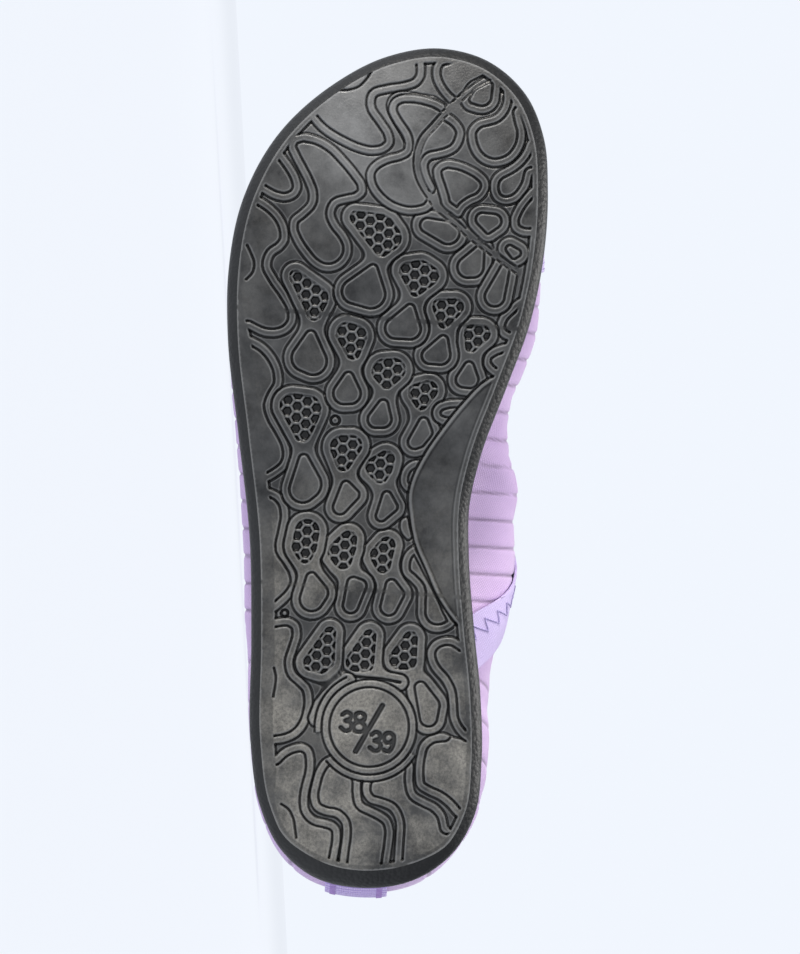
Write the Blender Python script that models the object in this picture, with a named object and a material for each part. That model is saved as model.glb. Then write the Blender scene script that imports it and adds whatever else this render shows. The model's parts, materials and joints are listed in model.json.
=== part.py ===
"""A slip-on water shoe for the right foot, EU size 38/39, empty and lying on its outer side.

The shoe is worked out as it would stand on its tread: x runs from the back of the heel to the toe,
y towards the arch (the inner side of the foot) and z up from the ground.  The sole's edge is one
closed curve, and every piece takes its place from that curve and from named clearances.  At the
end the empty "shoe" turns them all together, so that the outer side comes to rest on z = 0.
"""

import math
from collections import namedtuple

import bmesh
import bpy
from mathutils import Matrix, Vector
from mathutils.bvhtree import BVHTree

for thing in list(bpy.data.objects):
    bpy.data.objects.remove(thing, do_unlink=True)

# Main sizes, in metres
LENGTH = 0.250
BALL_WIDTH = 0.0917
HEEL_WIDTH = 0.0686
ANKLE_WIDTH = 0.059
HEEL_HEIGHT = 0.070
SIDE_HEIGHT = 0.056
THROAT_HEIGHT = 0.078
TOE_HEIGHT = 0.047
BULGE = 0.013
GAP = 0.0003

# Outsole
SOLE_THICKNESS = 0.0040
RIM_HEIGHT = 0.0105
WIDEST_HEIGHT = 0.0045
RIM_FLARE = 0.0036
HEEL_FLARE = 0.0024
RIM_FLAT = 0.0016
RIM_STEP = 0.0004
LIP_WIDTH = 0.0024
SIDE_TUCK = 0.0008
LIP_ROUND = 0.0007
TOE_SPRING = 0.011
HEEL_ROLL = 0.0015
ARCH_LIFT = 0.004
OUTER_ARCH_SHARE = 0.3
WINDOW_DEPTH = 0.0016
GROOVE_WIDTH = 0.0010
GROOVE_DEPTH = 0.0008
PANEL_DEPTH = 0.0008
ROUNDEL_RADIUS = 0.0131
FLEX_WIDTH = 0.0018

# Upper and what is sewn on it
UPPER_WALL = 0.0022
INSOLE_THICKNESS = 0.0030
OVERLAY_THICKNESS = 0.0008
BAND_WIDTH = 0.0130
BAND_DROP = 0.0110
BAND_END = 0.0224
BINDING_WIDTH = 0.0070
BINDING_THICKNESS = 0.0010
FOLD_CLEARANCE = 0.0006
TAB_WIDTH = 0.0183
TAB_THICKNESS = 0.0012
TAB_RISE = 0.0100

# Densities that the resting place is worked out with, in kg per cubic metre
RUBBER_DENSITY = 1200.0
FABRIC_DENSITY = 300.0

# How finely the curves are cut up
SIDE_STEPS = 30
CURVE_STEPS = 12
EGG_POINTS = 12
ROUND_POINTS = 24

# Places along the sole, as shares of its length
HEEL_START = 0.06
HEEL_END = 0.30
FOREFOOT_START = 0.56
FOREFOOT_END = 0.76
WIDENS_FROM = 0.22
WIDENS_OVER = 0.48
TOE_SEAM = 0.735
BAND_FOOT = 0.280
BAND_HEAD = 0.480

# Where the collar ends and where the toe box begins, as shares of one side of the sole's edge
THROAT_SHARE = 0.6
TOE_BOX_SHARE = 0.833

# Shapes of curves, as plain ratios
TOE_CURVE = 1.7
ARCH_START_ACROSS = -0.48
ARCH_SPREAD = 0.8
DROP_TAPER = 0.38
TOE_SEAM_LEAN = 0.12
BINDING_INSIDE_SHARE = 0.6
BINDING_ROUND_SHARE = 0.3

# The sole's edge from below, round from the heel's back by the outer side, over the toe and back by
# the arch.  Along is a share of LENGTH, across a share of the width there.
EdgePoint = namedtuple("EdgePoint", "along across")
SOLE_EDGE = (
    EdgePoint(0.000, -0.010),
    EdgePoint(0.010, -0.245),
    EdgePoint(0.037, -0.378),
    EdgePoint(0.089, -0.488),
    EdgePoint(0.160, -0.547),
    EdgePoint(0.280, -0.570),
    EdgePoint(0.400, -0.560),
    EdgePoint(0.520, -0.570),
    EdgePoint(0.640, -0.592),
    EdgePoint(0.712, -0.599),
    EdgePoint(0.800, -0.571),
    EdgePoint(0.879, -0.478),
    EdgePoint(0.945, -0.315),
    EdgePoint(0.985, -0.145),
    EdgePoint(1.000, 0.020),
    EdgePoint(0.989, 0.183),
    EdgePoint(0.950, 0.317),
    EdgePoint(0.900, 0.382),
    EdgePoint(0.840, 0.406),
    EdgePoint(0.760, 0.409),
    EdgePoint(0.680, 0.382),
    EdgePoint(0.600, 0.330),
    EdgePoint(0.520, 0.280),
    EdgePoint(0.460, 0.268),
    EdgePoint(0.400, 0.296),
    EdgePoint(0.320, 0.357),
    EdgePoint(0.240, 0.421),
    EdgePoint(0.160, 0.450),
    EdgePoint(0.100, 0.441),
    EdgePoint(0.053, 0.366),
    EdgePoint(0.015, 0.205),
)
TOE_ROW = 14

# Teardrops moulded in the tread: windows with a mesh floor, and the flat pads behind them.  Along
# and across place the middle, long and wide are shares of LENGTH, lean turns the fat end inwards.
Drop = namedtuple("Drop", "along across long wide lean")
WINDOWS = (
    Drop(0.773, -0.131, 0.056, 0.052, -40),
    Drop(0.722, 0.025, 0.045, 0.041, 18),
    Drop(0.685, 0.121, 0.038, 0.037, 26),
    Drop(0.656, 0.217, 0.038, 0.031, 26),
    Drop(0.694, -0.336, 0.064, 0.042, -24),
    Drop(0.642, -0.188, 0.044, 0.037, 0),
    Drop(0.608, -0.062, 0.039, 0.037, 0),
    Drop(0.585, 0.063, 0.036, 0.034, 12),
    Drop(0.548, -0.355, 0.056, 0.042, 0),
    Drop(0.511, -0.194, 0.042, 0.037, 6),
    Drop(0.496, -0.069, 0.039, 0.031, 18),
    Drop(0.403, -0.340, 0.051, 0.033, 10),
    Drop(0.396, -0.197, 0.047, 0.032, 18),
    Drop(0.393, -0.041, 0.044, 0.029, 20),
    Drop(0.275, -0.280, 0.056, 0.036, 24),
    Drop(0.280, -0.104, 0.050, 0.033, 22),
    Drop(0.285, 0.077, 0.046, 0.032, 20),
)
PADS = (
    Drop(0.708, -0.160, 0.050, 0.046, 12),
    Drop(0.669, -0.030, 0.042, 0.038, 12),
    Drop(0.640, 0.085, 0.034, 0.029, 22),
    Drop(0.614, 0.195, 0.030, 0.026, 22),
    Drop(0.624, -0.323, 0.052, 0.041, 0),
    Drop(0.586, -0.194, 0.039, 0.032, 0),
    Drop(0.560, -0.082, 0.034, 0.028, 6),
    Drop(0.543, 0.047, 0.036, 0.026, 20),
    Drop(0.477, -0.334, 0.055, 0.037, 0),
    Drop(0.458, -0.188, 0.041, 0.029, 12),
    Drop(0.451, -0.036, 0.036, 0.025, 16),
    Drop(0.343, -0.310, 0.049, 0.033, 10),
    Drop(0.343, -0.142, 0.043, 0.028, 10),
    Drop(0.346, 0.013, 0.042, 0.027, 12),
)
ROUNDEL = EdgePoint(0.192, -0.044)
PANEL_SIDE = (
    EdgePoint(0.598, 0.262),
    EdgePoint(0.548, 0.140),
    EdgePoint(0.512, 0.083),
    EdgePoint(0.466, 0.046),
    EdgePoint(0.412, 0.086),
    EdgePoint(0.351, 0.197),
    EdgePoint(0.326, 0.272),
)
FLEX_LINE = (
    EdgePoint(0.952, 0.140),
    EdgePoint(0.926, 0.054),
    EdgePoint(0.882, -0.023),
    EdgePoint(0.855, -0.034),
    EdgePoint(0.824, -0.001),
    EdgePoint(0.793, 0.099),
    EdgePoint(0.766, 0.250),
)

# Where the upper is widest: how far it stands past the sole's edge on each side, and how high
Belly = namedtuple("Belly", "along outer inner outer_height inner_height")
BELLY = (
    Belly(0.00, 0.27 * BULGE, 0.27 * BULGE, 0.46 * SIDE_HEIGHT, 0.46 * SIDE_HEIGHT),
    Belly(0.06, 0.14 * BULGE, 0.12 * BULGE, 0.42 * SIDE_HEIGHT, 0.46 * SIDE_HEIGHT),
    Belly(0.16, 0.06 * BULGE, 0.18 * BULGE, 0.38 * SIDE_HEIGHT, 0.46 * SIDE_HEIGHT),
    Belly(0.25, 0.11 * BULGE, 0.26 * BULGE, 0.36 * SIDE_HEIGHT, 0.48 * SIDE_HEIGHT),
    Belly(0.32, 0.20 * BULGE, 0.74 * BULGE, 0.36 * SIDE_HEIGHT, 0.50 * SIDE_HEIGHT),
    Belly(0.40, 0.20 * BULGE, 1.10 * BULGE, 0.36 * SIDE_HEIGHT, 0.52 * SIDE_HEIGHT),
    Belly(0.48, 0.14 * BULGE, 1.04 * BULGE, 0.36 * SIDE_HEIGHT, 0.52 * SIDE_HEIGHT),
    Belly(0.53, 0.10 * BULGE, 0.76 * BULGE, 0.36 * SIDE_HEIGHT, 0.50 * SIDE_HEIGHT),
    Belly(0.57, 0.08 * BULGE, 0.34 * BULGE, 0.36 * SIDE_HEIGHT, 0.48 * SIDE_HEIGHT),
    Belly(0.61, 0.05 * BULGE, 0.27 * BULGE, 0.36 * SIDE_HEIGHT, 0.46 * SIDE_HEIGHT),
    Belly(0.66, 0.00 * BULGE, 0.26 * BULGE, 0.36 * SIDE_HEIGHT, 0.44 * SIDE_HEIGHT),
    Belly(0.72, -0.08 * BULGE, 0.10 * BULGE, 0.36 * SIDE_HEIGHT, 0.42 * SIDE_HEIGHT),
    Belly(0.78, -0.14 * BULGE, -0.06 * BULGE, 0.36 * SIDE_HEIGHT, 0.40 * SIDE_HEIGHT),
    Belly(0.90, -0.16 * BULGE, -0.14 * BULGE, 0.37 * SIDE_HEIGHT, 0.39 * SIDE_HEIGHT),
    Belly(1.00, -0.16 * BULGE, -0.16 * BULGE, 0.38 * SIDE_HEIGHT, 0.38 * SIDE_HEIGHT),
)

# Where the upper ends: its top line round the collar, then the ridge of the instep down to the toe
# box.  Share is how far round one side of the sole's edge from the heel, middle and across are
# shares of the ball and ankle width, and lean is the surface's angle from upright there.
TopPoint = namedtuple("TopPoint", "share along middle across height lean")
TOP_LINE = (
    TopPoint(0.0, 0.016, -0.035, 0.00, HEEL_HEIGHT, 6),
    TopPoint(0.067, 0.034, -0.035, 0.24, 0.992 * HEEL_HEIGHT, 8),
    TopPoint(0.133, 0.080, -0.036, 0.39, 0.950 * HEEL_HEIGHT, 13),
    TopPoint(0.233, 0.180, -0.040, 0.48, 1.065 * SIDE_HEIGHT, 17),
    TopPoint(0.333, 0.275, -0.045, 0.50, SIDE_HEIGHT, 20),
    TopPoint(0.433, 0.375, -0.050, 0.45, 1.055 * SIDE_HEIGHT, 27),
    TopPoint(0.500, 0.445, -0.050, 0.34, 0.860 * THROAT_HEIGHT, 42),
    TopPoint(0.567, 0.510, -0.050, 0.14, 0.975 * THROAT_HEIGHT, 74),
    TopPoint(THROAT_SHARE, 0.524, -0.050, 0.00, THROAT_HEIGHT, 90),
    TopPoint(0.667, 0.600, -0.052, 0.00, 0.902 * THROAT_HEIGHT, 90),
    TopPoint(0.733, 0.690, -0.055, 0.00, 1.277 * TOE_HEIGHT, 90),
    TopPoint(TOE_BOX_SHARE, 0.830, -0.045, 0.00, TOE_HEIGHT, 90),
    TopPoint(1.0, 0.830, -0.045, 0.00, TOE_HEIGHT, 90),
)

# How high the rows of the upper's wall lie, as shares of each of its three stretches
CUP_ROWS = (0.0, 1.0)
FLANK_ROWS = (0.25, 0.5, 0.75, 1.0)
CROWN_ROWS = (0.12, 0.25, 0.39, 0.54, 0.70, 0.86, 1.0)
SEAT_CLEARANCE = 0.0012

# How far the wall's curves hold their heading, as shares of the rise or the reach to the next point
ROOT_HOLD = 0.35
BELLY_HOLD_BELOW = 0.55
BELLY_HOLD_ABOVE = 0.50
TOP_HOLD_UP = 0.38
TOP_HOLD_IN = 0.55

# The sole's side between its sharp lower edge and its widest line: lean is the share of RIM_FLARE
# that is left, height a share of the way up
SideRow = namedtuple("SideRow", "lean height")
SIDE_ROWS = (
    SideRow(1.0, 0.0),
    SideRow(0.50, 0.22),
    SideRow(0.14, 0.58),
    SideRow(0.0, 1.0),
)


def smooth(share):
    """Goes from 0 to 1 with no corner at either end."""
    share = min(max(share, 0.0), 1.0)
    return share * share * (3.0 - 2.0 * share)


def hermite(a, b, slope_a, slope_b, share, span):
    """The cubic between two values with the slopes that it has at them."""
    s2 = share * share
    s3 = s2 * share
    return (
        a * (2.0 * s3 - 3.0 * s2 + 1.0)
        + slope_a * span * (s3 - 2.0 * s2 + share)
        + b * (3.0 * s2 - 2.0 * s3)
        + slope_b * span * (s3 - s2)
    )


def read_table(rows, key, column, at):
    """Reads a column of a table at any place between its rows, without overshooting them."""
    places = [getattr(row, key) for row in rows]
    values = [getattr(row, column) for row in rows]
    at = min(max(at, places[0]), places[-1])
    i = max(k for k in range(len(rows) - 1) if places[k] <= at)
    rises = [(values[k + 1] - values[k]) / (places[k + 1] - places[k]) for k in range(len(rows) - 1)]

    def slope(k):
        if k in (0, len(rows) - 1) or rises[k - 1] * rises[k] <= 0.0:
            return 0.0
        return 2.0 * rises[k - 1] * rises[k] / (rises[k - 1] + rises[k])

    span = places[i + 1] - places[i]
    return hermite(values[i], values[i + 1], slope(i), slope(i + 1), (at - places[i]) / span, span)


def width_at(along):
    """The width that the across column is a share of: the heel's, the ball's or between them."""
    return HEEL_WIDTH + (BALL_WIDTH - HEEL_WIDTH) * smooth((along - WIDENS_FROM) / WIDENS_OVER)


def in_plan(point):
    """A table's along and across as x and y."""
    return Vector((point.along * LENGTH, point.across * width_at(point.along)))


def curve_through(points, closed):
    """A smooth curve through points of the plan, cut into CURVE_STEPS pieces between two points."""
    count = len(points)

    def point(k):
        return points[k % count] if closed else points[min(max(k, 0), count - 1)]

    def tangent(k):
        before = (point(k) - point(k - 1)).length or 1.0
        after = (point(k + 1) - point(k)).length or 1.0
        into = (point(k) - point(k - 1)) / before
        out = (point(k + 1) - point(k)) / after
        return (into * after + out * before) / (before + after)

    curve = []
    for k in range(count if closed else count - 1):
        span = (point(k + 1) - point(k)).length
        for step in range(CURVE_STEPS):
            share = step / CURVE_STEPS
            curve.append(hermite(point(k), point(k + 1), tangent(k), tangent(k + 1), share, span))
    if not closed:
        curve.append(points[-1].copy())
    return curve


def side_curves():
    """The sole's edge as two curves from the heel's back to the toe, outer and inner."""
    curve = curve_through([in_plan(point) for point in SOLE_EDGE], closed=True)
    turn = TOE_ROW * CURVE_STEPS
    return {"outer": curve[: turn + 1], "inner": [curve[0]] + curve[:turn - 1:-1]}


SIDES = side_curves()


def edge_point(side, step, inset):
    """A point of the sole's edge, step of SIDE_STEPS along it from the heel, moved inwards by inset."""
    curve = SIDES[side]
    lengths = [(b - a).length for a, b in zip(curve, curve[1:])]
    wanted = sum(lengths) * step / SIDE_STEPS
    k = 0
    while k < len(lengths) - 1 and wanted > lengths[k]:
        wanted -= lengths[k]
        k += 1
    spot = curve[k].lerp(curve[k + 1], min(wanted / lengths[k], 1.0))
    if step == 0 or step == SIDE_STEPS:
        across = SIDES["outer"][1] - SIDES["inner"][1]
        if step == SIDE_STEPS:
            across = SIDES["inner"][-2] - SIDES["outer"][-2]
        inward = Vector((-across.y, across.x)).normalized()
    else:
        ahead = (curve[k + 1] - curve[k]).normalized()
        inward = Vector((-ahead.y, ahead.x)) if side == "outer" else Vector((ahead.y, -ahead.x))
    return spot + inward * inset


def round_the_shoe():
    """The steps of both sides in order: by the outer side to the toe and back by the arch."""
    outer = [("outer", step) for step in range(SIDE_STEPS + 1)]
    inner = [("inner", step) for step in range(SIDE_STEPS - 1, 0, -1)]
    return outer + inner


def lift(x, y):
    """How far the sole is bent up from the ground at a place of the plan."""
    along = x / LENGTH
    toe = TOE_SPRING * max(0.0, (along - FOREFOOT_END) / (1.0 - FOREFOOT_END)) ** TOE_CURVE
    heel = HEEL_ROLL * max(0.0, (HEEL_START - along) / HEEL_START) ** 2
    share = (along - HEEL_END) / (FOREFOOT_START - HEEL_END)
    hump = smooth(2.0 * share) if share < 0.5 else smooth(2.0 - 2.0 * share)
    inwards = smooth((y / width_at(along) - ARCH_START_ACROSS) / ARCH_SPREAD)
    arch = ARCH_LIFT * hump * (OUTER_ARCH_SHARE + (1.0 - OUTER_ARCH_SHARE) * inwards)
    return toe + heel + arch


def bend(mesh):
    """Bends a piece that was worked out on a flat sole."""
    for vert in mesh.verts:
        vert.co.z += lift(vert.co.x, vert.co.y)


def stack(mesh, rings):
    """A closed solid from rings of points, each ring drawn up from the one before it."""
    bottom = mesh.faces.new([mesh.verts.new(point) for point in rings[0]])
    face = bottom
    for below, above in zip(rings, rings[1:]):
        places = {Vector(point).to_tuple(7): k for k, point in enumerate(below)}
        drawn = bmesh.ops.extrude_face_region(mesh, geom=[face])["geom"]
        if face is not bottom:
            bmesh.ops.delete(mesh, geom=[face], context="FACES_ONLY")
        face = next(piece for piece in drawn if isinstance(piece, bmesh.types.BMFace))
        for vert in face.verts:
            vert.co = above[places[vert.co.to_tuple(7)]]


def cut_cap(mesh, height, along_cuts, across_cuts):
    """Cuts the level faces of one height across and along, so that they can bend."""

    def level_faces():
        return [f for f in mesh.faces if all(abs(v.co.z - height) < 1e-6 for v in f.verts)]

    def cut(faces, spot, normal):
        geometry = {e for f in faces for e in f.edges} | {v for f in faces for v in f.verts}
        bmesh.ops.bisect_plane(
            mesh, geom=list(geometry | set(faces)), dist=1e-6, plane_co=spot, plane_no=normal
        )

    for along in along_cuts:
        cut(level_faces(), (along * LENGTH, 0.0, 0.0), (1.0, 0.0, 0.0))
    for across in across_cuts:
        waist = [
            f
            for f in level_faces()
            if HEEL_END < f.calc_center_median().x / LENGTH < FOREFOOT_START
        ]
        cut(waist, (0.0, across * BALL_WIDTH, 0.0), (0.0, 1.0, 0.0))


ALONG_CUTS = (0.03, 0.06, 0.30, 0.345, 0.39, 0.43, 0.47, 0.515, 0.56, 0.76, 0.81, 0.86, 0.91, 0.96)
ACROSS_CUTS = (-0.25, 0.0, 0.14)


def add_object(name, mesh, material):
    """Makes a named object of a bmesh, smooth but for its sharp corners."""
    bmesh.ops.recalc_face_normals(mesh, faces=mesh.faces)
    data = bpy.data.meshes.new(name)
    mesh.to_mesh(data)
    mesh.free()
    piece = bpy.data.objects.new(name, data)
    bpy.context.scene.collection.objects.link(piece)
    if material:
        data.materials.append(material)
        data.shade_smooth()
        data.set_sharp_from_angle(angle=math.radians(40))
    return piece


def finish(name, colour, roughness):
    """A Principled material, its colour in linear light."""
    material = bpy.data.materials.new(name)
    material.use_nodes = True
    shader = material.node_tree.nodes["Principled BSDF"]
    shader.inputs["Base Color"].default_value = (*colour, 1.0)
    shader.inputs["Roughness"].default_value = roughness
    shader.inputs["Metallic"].default_value = 0.0
    return material


def flare_at(x):
    """How far the sole's side leans out: more round the back of the heel."""
    return RIM_FLARE + HEEL_FLARE * smooth((HEEL_START - x / LENGTH) / HEEL_START)


def sole_ring(flare_share, inset, height):
    """One level line of the sole, flare_share of the lean plus inset in from the sole's edge."""
    ring = []
    for side, step in round_the_shoe():
        x = edge_point(side, step, 0.0).x
        spot = edge_point(side, step, flare_share * flare_at(x) + inset)
        ring.append((spot.x, spot.y, height))
    return ring


def egg(drop, point_to_toe, grow):
    """The outline of a teardrop of the tread, fat at one end, grown all round by grow."""
    middle = in_plan(drop)
    long = 0.5 * drop.long * LENGTH + grow
    wide = 0.5 * drop.wide * LENGTH + grow
    lean = math.radians(drop.lean)
    points = []
    for k in range(EGG_POINTS):
        angle = 2.0 * math.pi * k / EGG_POINTS
        forward = long * math.cos(angle)
        sideways = wide * math.sin(angle) * (1.0 + DROP_TAPER * math.cos(angle))
        if point_to_toe:
            forward = -forward
            sideways = -sideways
        points.append(
            middle
            + Vector((math.cos(lean), math.sin(lean))) * forward
            + Vector((-math.sin(lean), math.cos(lean))) * sideways
        )
    return points


def pit(mesh, outline, depth):
    """A cutter that sinks an outline into the tread by depth, which follows the bent sole."""
    below = [(p.x, p.y, lift(p.x, p.y) - depth) for p in outline]
    above = [(p.x, p.y, lift(p.x, p.y) + depth) for p in outline]
    stack(mesh, [below, above])


def close_rings(mesh, loops):
    """Faces between closed loops of as many points each, and from the last loop to the first."""
    for here, there in zip(loops, loops[1:] + loops[:1]):
        for k in range(len(here)):
            mesh.faces.new((here[k - 1], here[k], there[k], there[k - 1]))


def trench(mesh, outside, inside, depth):
    """A cutter that sinks the ring between two outlines into the tread."""
    loops = [
        [mesh.verts.new((p.x, p.y, lift(p.x, p.y) + way * depth)) for p in outline]
        for outline, way in ((outside, -1), (outside, 1), (inside, 1), (inside, -1))
    ]
    close_rings(mesh, loops)


def along_line(line, half_width):
    """The outline of a band that follows a line of the plan."""
    outline = []
    for points in (line, line[::-1]):
        for k, point in enumerate(points):
            before = points[max(k - 1, 0)]
            after = points[min(k + 1, len(points) - 1)]
            ahead = (after - before).normalized()
            outline.append(point + Vector((-ahead.y, ahead.x)) * half_width)
    return outline


def tread_cutter():
    """One guide object with all that is sunk into the tread."""
    mesh = bmesh.new()
    for drop in WINDOWS:
        pit(mesh, egg(drop, False, 0.0), WINDOW_DEPTH)
    for drop in PADS:
        trench(mesh, egg(drop, True, GROOVE_WIDTH), egg(drop, True, 0.0), GROOVE_DEPTH)
    middle = in_plan(ROUNDEL)
    turns = [2.0 * math.pi * k / ROUND_POINTS for k in range(ROUND_POINTS)]
    spokes = [Vector((math.cos(turn), math.sin(turn))) for turn in turns]
    trench(
        mesh,
        [middle + spoke * ROUNDEL_RADIUS for spoke in spokes],
        [middle + spoke * (ROUNDEL_RADIUS - GROOVE_WIDTH) for spoke in spokes],
        GROOVE_DEPTH,
    )
    rim_steps = [
        step
        for step in range(SIDE_STEPS)
        if PANEL_SIDE[-1].along < edge_point("inner", step, 0.0).x / LENGTH < PANEL_SIDE[0].along
    ]
    rim = [edge_point("inner", step, RIM_FLARE + RIM_FLAT + GROOVE_WIDTH) for step in rim_steps]
    pit(mesh, [in_plan(point) for point in PANEL_SIDE] + rim, PANEL_DEPTH)
    flex = [in_plan(point) for point in FLEX_LINE]
    pit(mesh, along_line(flex, 0.5 * FLEX_WIDTH), GROOVE_DEPTH)
    cutter = add_object("tread_cutter", mesh, None)
    cutter.hide_render = True
    cutter.display_type = "WIRE"
    return cutter


def outsole(material):
    """The moulded cup sole: tread field, flat rim, rounded side, lip and foot bed."""
    rings = [
        sole_ring(1.0, RIM_FLAT + RIM_STEP, 0.0),
        sole_ring(1.0, RIM_FLAT, RIM_STEP),
    ]
    rings += [
        sole_ring(row.lean, 0.0, RIM_STEP + row.height * (WIDEST_HEIGHT - RIM_STEP))
        for row in SIDE_ROWS
    ]
    rings += [
        sole_ring(0.0, 0.35 * SIDE_TUCK, 0.5 * (WIDEST_HEIGHT + RIM_HEIGHT)),
        sole_ring(0.0, SIDE_TUCK, RIM_HEIGHT - LIP_ROUND),
        sole_ring(0.0, SIDE_TUCK + LIP_ROUND, RIM_HEIGHT),
        sole_ring(0.0, SIDE_TUCK + LIP_WIDTH, RIM_HEIGHT),
        sole_ring(0.0, SIDE_TUCK + LIP_WIDTH, SOLE_THICKNESS),
    ]
    mesh = bmesh.new()
    stack(mesh, rings)
    for height in (0.0, SOLE_THICKNESS):
        cut_cap(mesh, height, ALONG_CUTS, ACROSS_CUTS)
    bmesh.ops.triangulate(mesh, faces=[face for face in mesh.faces if len(face.verts) > 4])
    bend(mesh)
    bmesh.ops.triangulate(mesh, faces=mesh.faces)
    piece = add_object("outsole", mesh, material)
    sink = piece.modifiers.new("tread", "BOOLEAN")
    sink.operation = "DIFFERENCE"
    sink.object = tread_cutter()
    return piece


def insole(material):
    """The flat foot bed liner, inside the upper's wall."""
    inset = SIDE_TUCK + LIP_WIDTH + GAP + UPPER_WALL + GAP
    bottom = SOLE_THICKNESS + GAP
    chamfer = 0.25 * INSOLE_THICKNESS
    mesh = bmesh.new()
    stack(
        mesh,
        [
            sole_ring(0.0, inset, bottom),
            sole_ring(0.0, inset, bottom + INSOLE_THICKNESS - chamfer),
            sole_ring(0.0, inset + chamfer, bottom + INSOLE_THICKNESS),
        ],
    )
    for height in (bottom, bottom + INSOLE_THICKNESS):
        cut_cap(mesh, height, ALONG_CUTS, ACROSS_CUTS)
    bmesh.ops.triangulate(mesh, faces=[face for face in mesh.faces if len(face.verts) > 4])
    bend(mesh)
    return add_object("insole", mesh, material)


def bezier(a, b, c, d, share):
    """A point of the cubic curve from a to d with the handles b and c."""
    left = 1.0 - share
    return (
        a * left**3 + b * (3.0 * left**2 * share) + c * (3.0 * left * share**2) + d * share**3
    )


def wall_line(side, step):
    """One line of the upper's outer face, from the foot bed up to the collar or the ridge."""
    up = Vector((0.0, 0.0, 1.0))
    share = step / SIDE_STEPS
    foot = edge_point(side, step, SIDE_TUCK + LIP_WIDTH + GAP)
    along = edge_point(side, step, 0.0).x / LENGTH
    widest = edge_point(side, step, -read_table(BELLY, "along", side, along))
    sign = 1.0 if side == "inner" else -1.0
    top = Vector(
        (
            read_table(TOP_LINE, "share", "along", share) * LENGTH,
            read_table(TOP_LINE, "share", "middle", share) * BALL_WIDTH
            + sign * read_table(TOP_LINE, "share", "across", share) * ANKLE_WIDTH,
            read_table(TOP_LINE, "share", "height", share),
        )
    )
    seat = Vector((foot.x, foot.y, SOLE_THICKNESS + GAP))
    mouth = Vector((foot.x, foot.y, RIM_HEIGHT + 0.5 * LIP_ROUND))
    belly = Vector((widest.x, widest.y, read_table(BELLY, "along", side + "_height", along)))
    rise = belly.z - mouth.z
    line = [seat.lerp(mouth, row) for row in CUP_ROWS]
    line += [
        bezier(
            mouth,
            mouth + up * ROOT_HOLD * rise,
            belly - up * BELLY_HOLD_BELOW * rise,
            belly,
            row,
        )
        for row in FLANK_ROWS
    ]
    lean = math.radians(read_table(TOP_LINE, "share", "lean", share))
    inwards = Vector((top.x - belly.x, top.y - belly.y, 0.0))
    reach = inwards.length
    heading = up * math.cos(lean) + inwards.normalized() * math.sin(lean)
    rise = top.z - belly.z
    hold = TOP_HOLD_UP * rise * math.cos(lean) + TOP_HOLD_IN * reach * math.sin(lean)
    line += [
        bezier(belly, belly + up * BELLY_HOLD_ABOVE * rise, top - heading * hold, top, row)
        for row in CROWN_ROWS
    ]
    return line


def skin(offset, first_row):
    """The upper's outer face as an open mesh, moved outwards by offset, from a row of its wall up."""
    lines = [wall_line(side, step)[first_row:] for side, step in round_the_shoe()]
    columns = len(lines)
    rows = len(lines[0])
    mesh = bmesh.new()
    grid = [[mesh.verts.new(point) for point in line] for line in lines]
    for k in range(columns):
        here, there = grid[k], grid[(k + 1) % columns]
        for row in range(rows - 1):
            mesh.faces.new((here[row], there[row], there[row + 1], here[row + 1]))
    bmesh.ops.remove_doubles(mesh, verts=mesh.verts, dist=1e-6)
    bmesh.ops.triangulate(mesh, faces=mesh.faces)
    bmesh.ops.recalc_face_normals(mesh, faces=mesh.faces)
    middle = Vector((0.5 * LENGTH, 0.0, 0.0))
    outward = [face.normal.dot(face.calc_center_median() - middle) for face in mesh.faces]
    if sum(outward) < 0.0:
        bmesh.ops.reverse_faces(mesh, faces=mesh.faces)
    mesh.normal_update()
    moves = [vert.normal * offset for vert in mesh.verts]
    for vert, move in zip(mesh.verts, moves):
        vert.co += move
    return mesh


def thicken(mesh, thickness):
    """Gives an open sheet its thickness: outwards where that is positive, inwards where negative."""
    bmesh.ops.solidify(mesh, geom=mesh.faces, thickness=-thickness)


def upper(material):
    """The knitted upper: one hollow wall, open at the collar and underneath."""
    mesh = skin(0.0, 0)
    thicken(mesh, -UPPER_WALL)
    bend(mesh)
    return add_object("upper", mesh, material)


def keep_side(mesh, spot, normal):
    """Cuts a sheet by a plane and keeps what lies behind it."""
    bmesh.ops.bisect_plane(
        mesh,
        geom=mesh.verts[:] + mesh.edges[:] + mesh.faces[:],
        dist=1e-6,
        plane_co=spot,
        plane_no=normal,
        clear_outer=True,
    )


def toe_cap(material):
    """The smooth toe piece, laid over the upper in front of a cross seam."""
    mesh = skin(GAP, len(CUP_ROWS))
    keep_side(mesh, (TOE_SEAM * LENGTH, 0.0, 0.0), (-1.0, 0.0, TOE_SEAM_LEAN))
    keep_side(mesh, (0.0, 0.0, RIM_HEIGHT + SEAT_CLEARANCE), (0.0, 0.0, -1.0))
    thicken(mesh, OVERLAY_THICKNESS)
    bend(mesh)
    return add_object("toe_cap", mesh, material)


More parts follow.
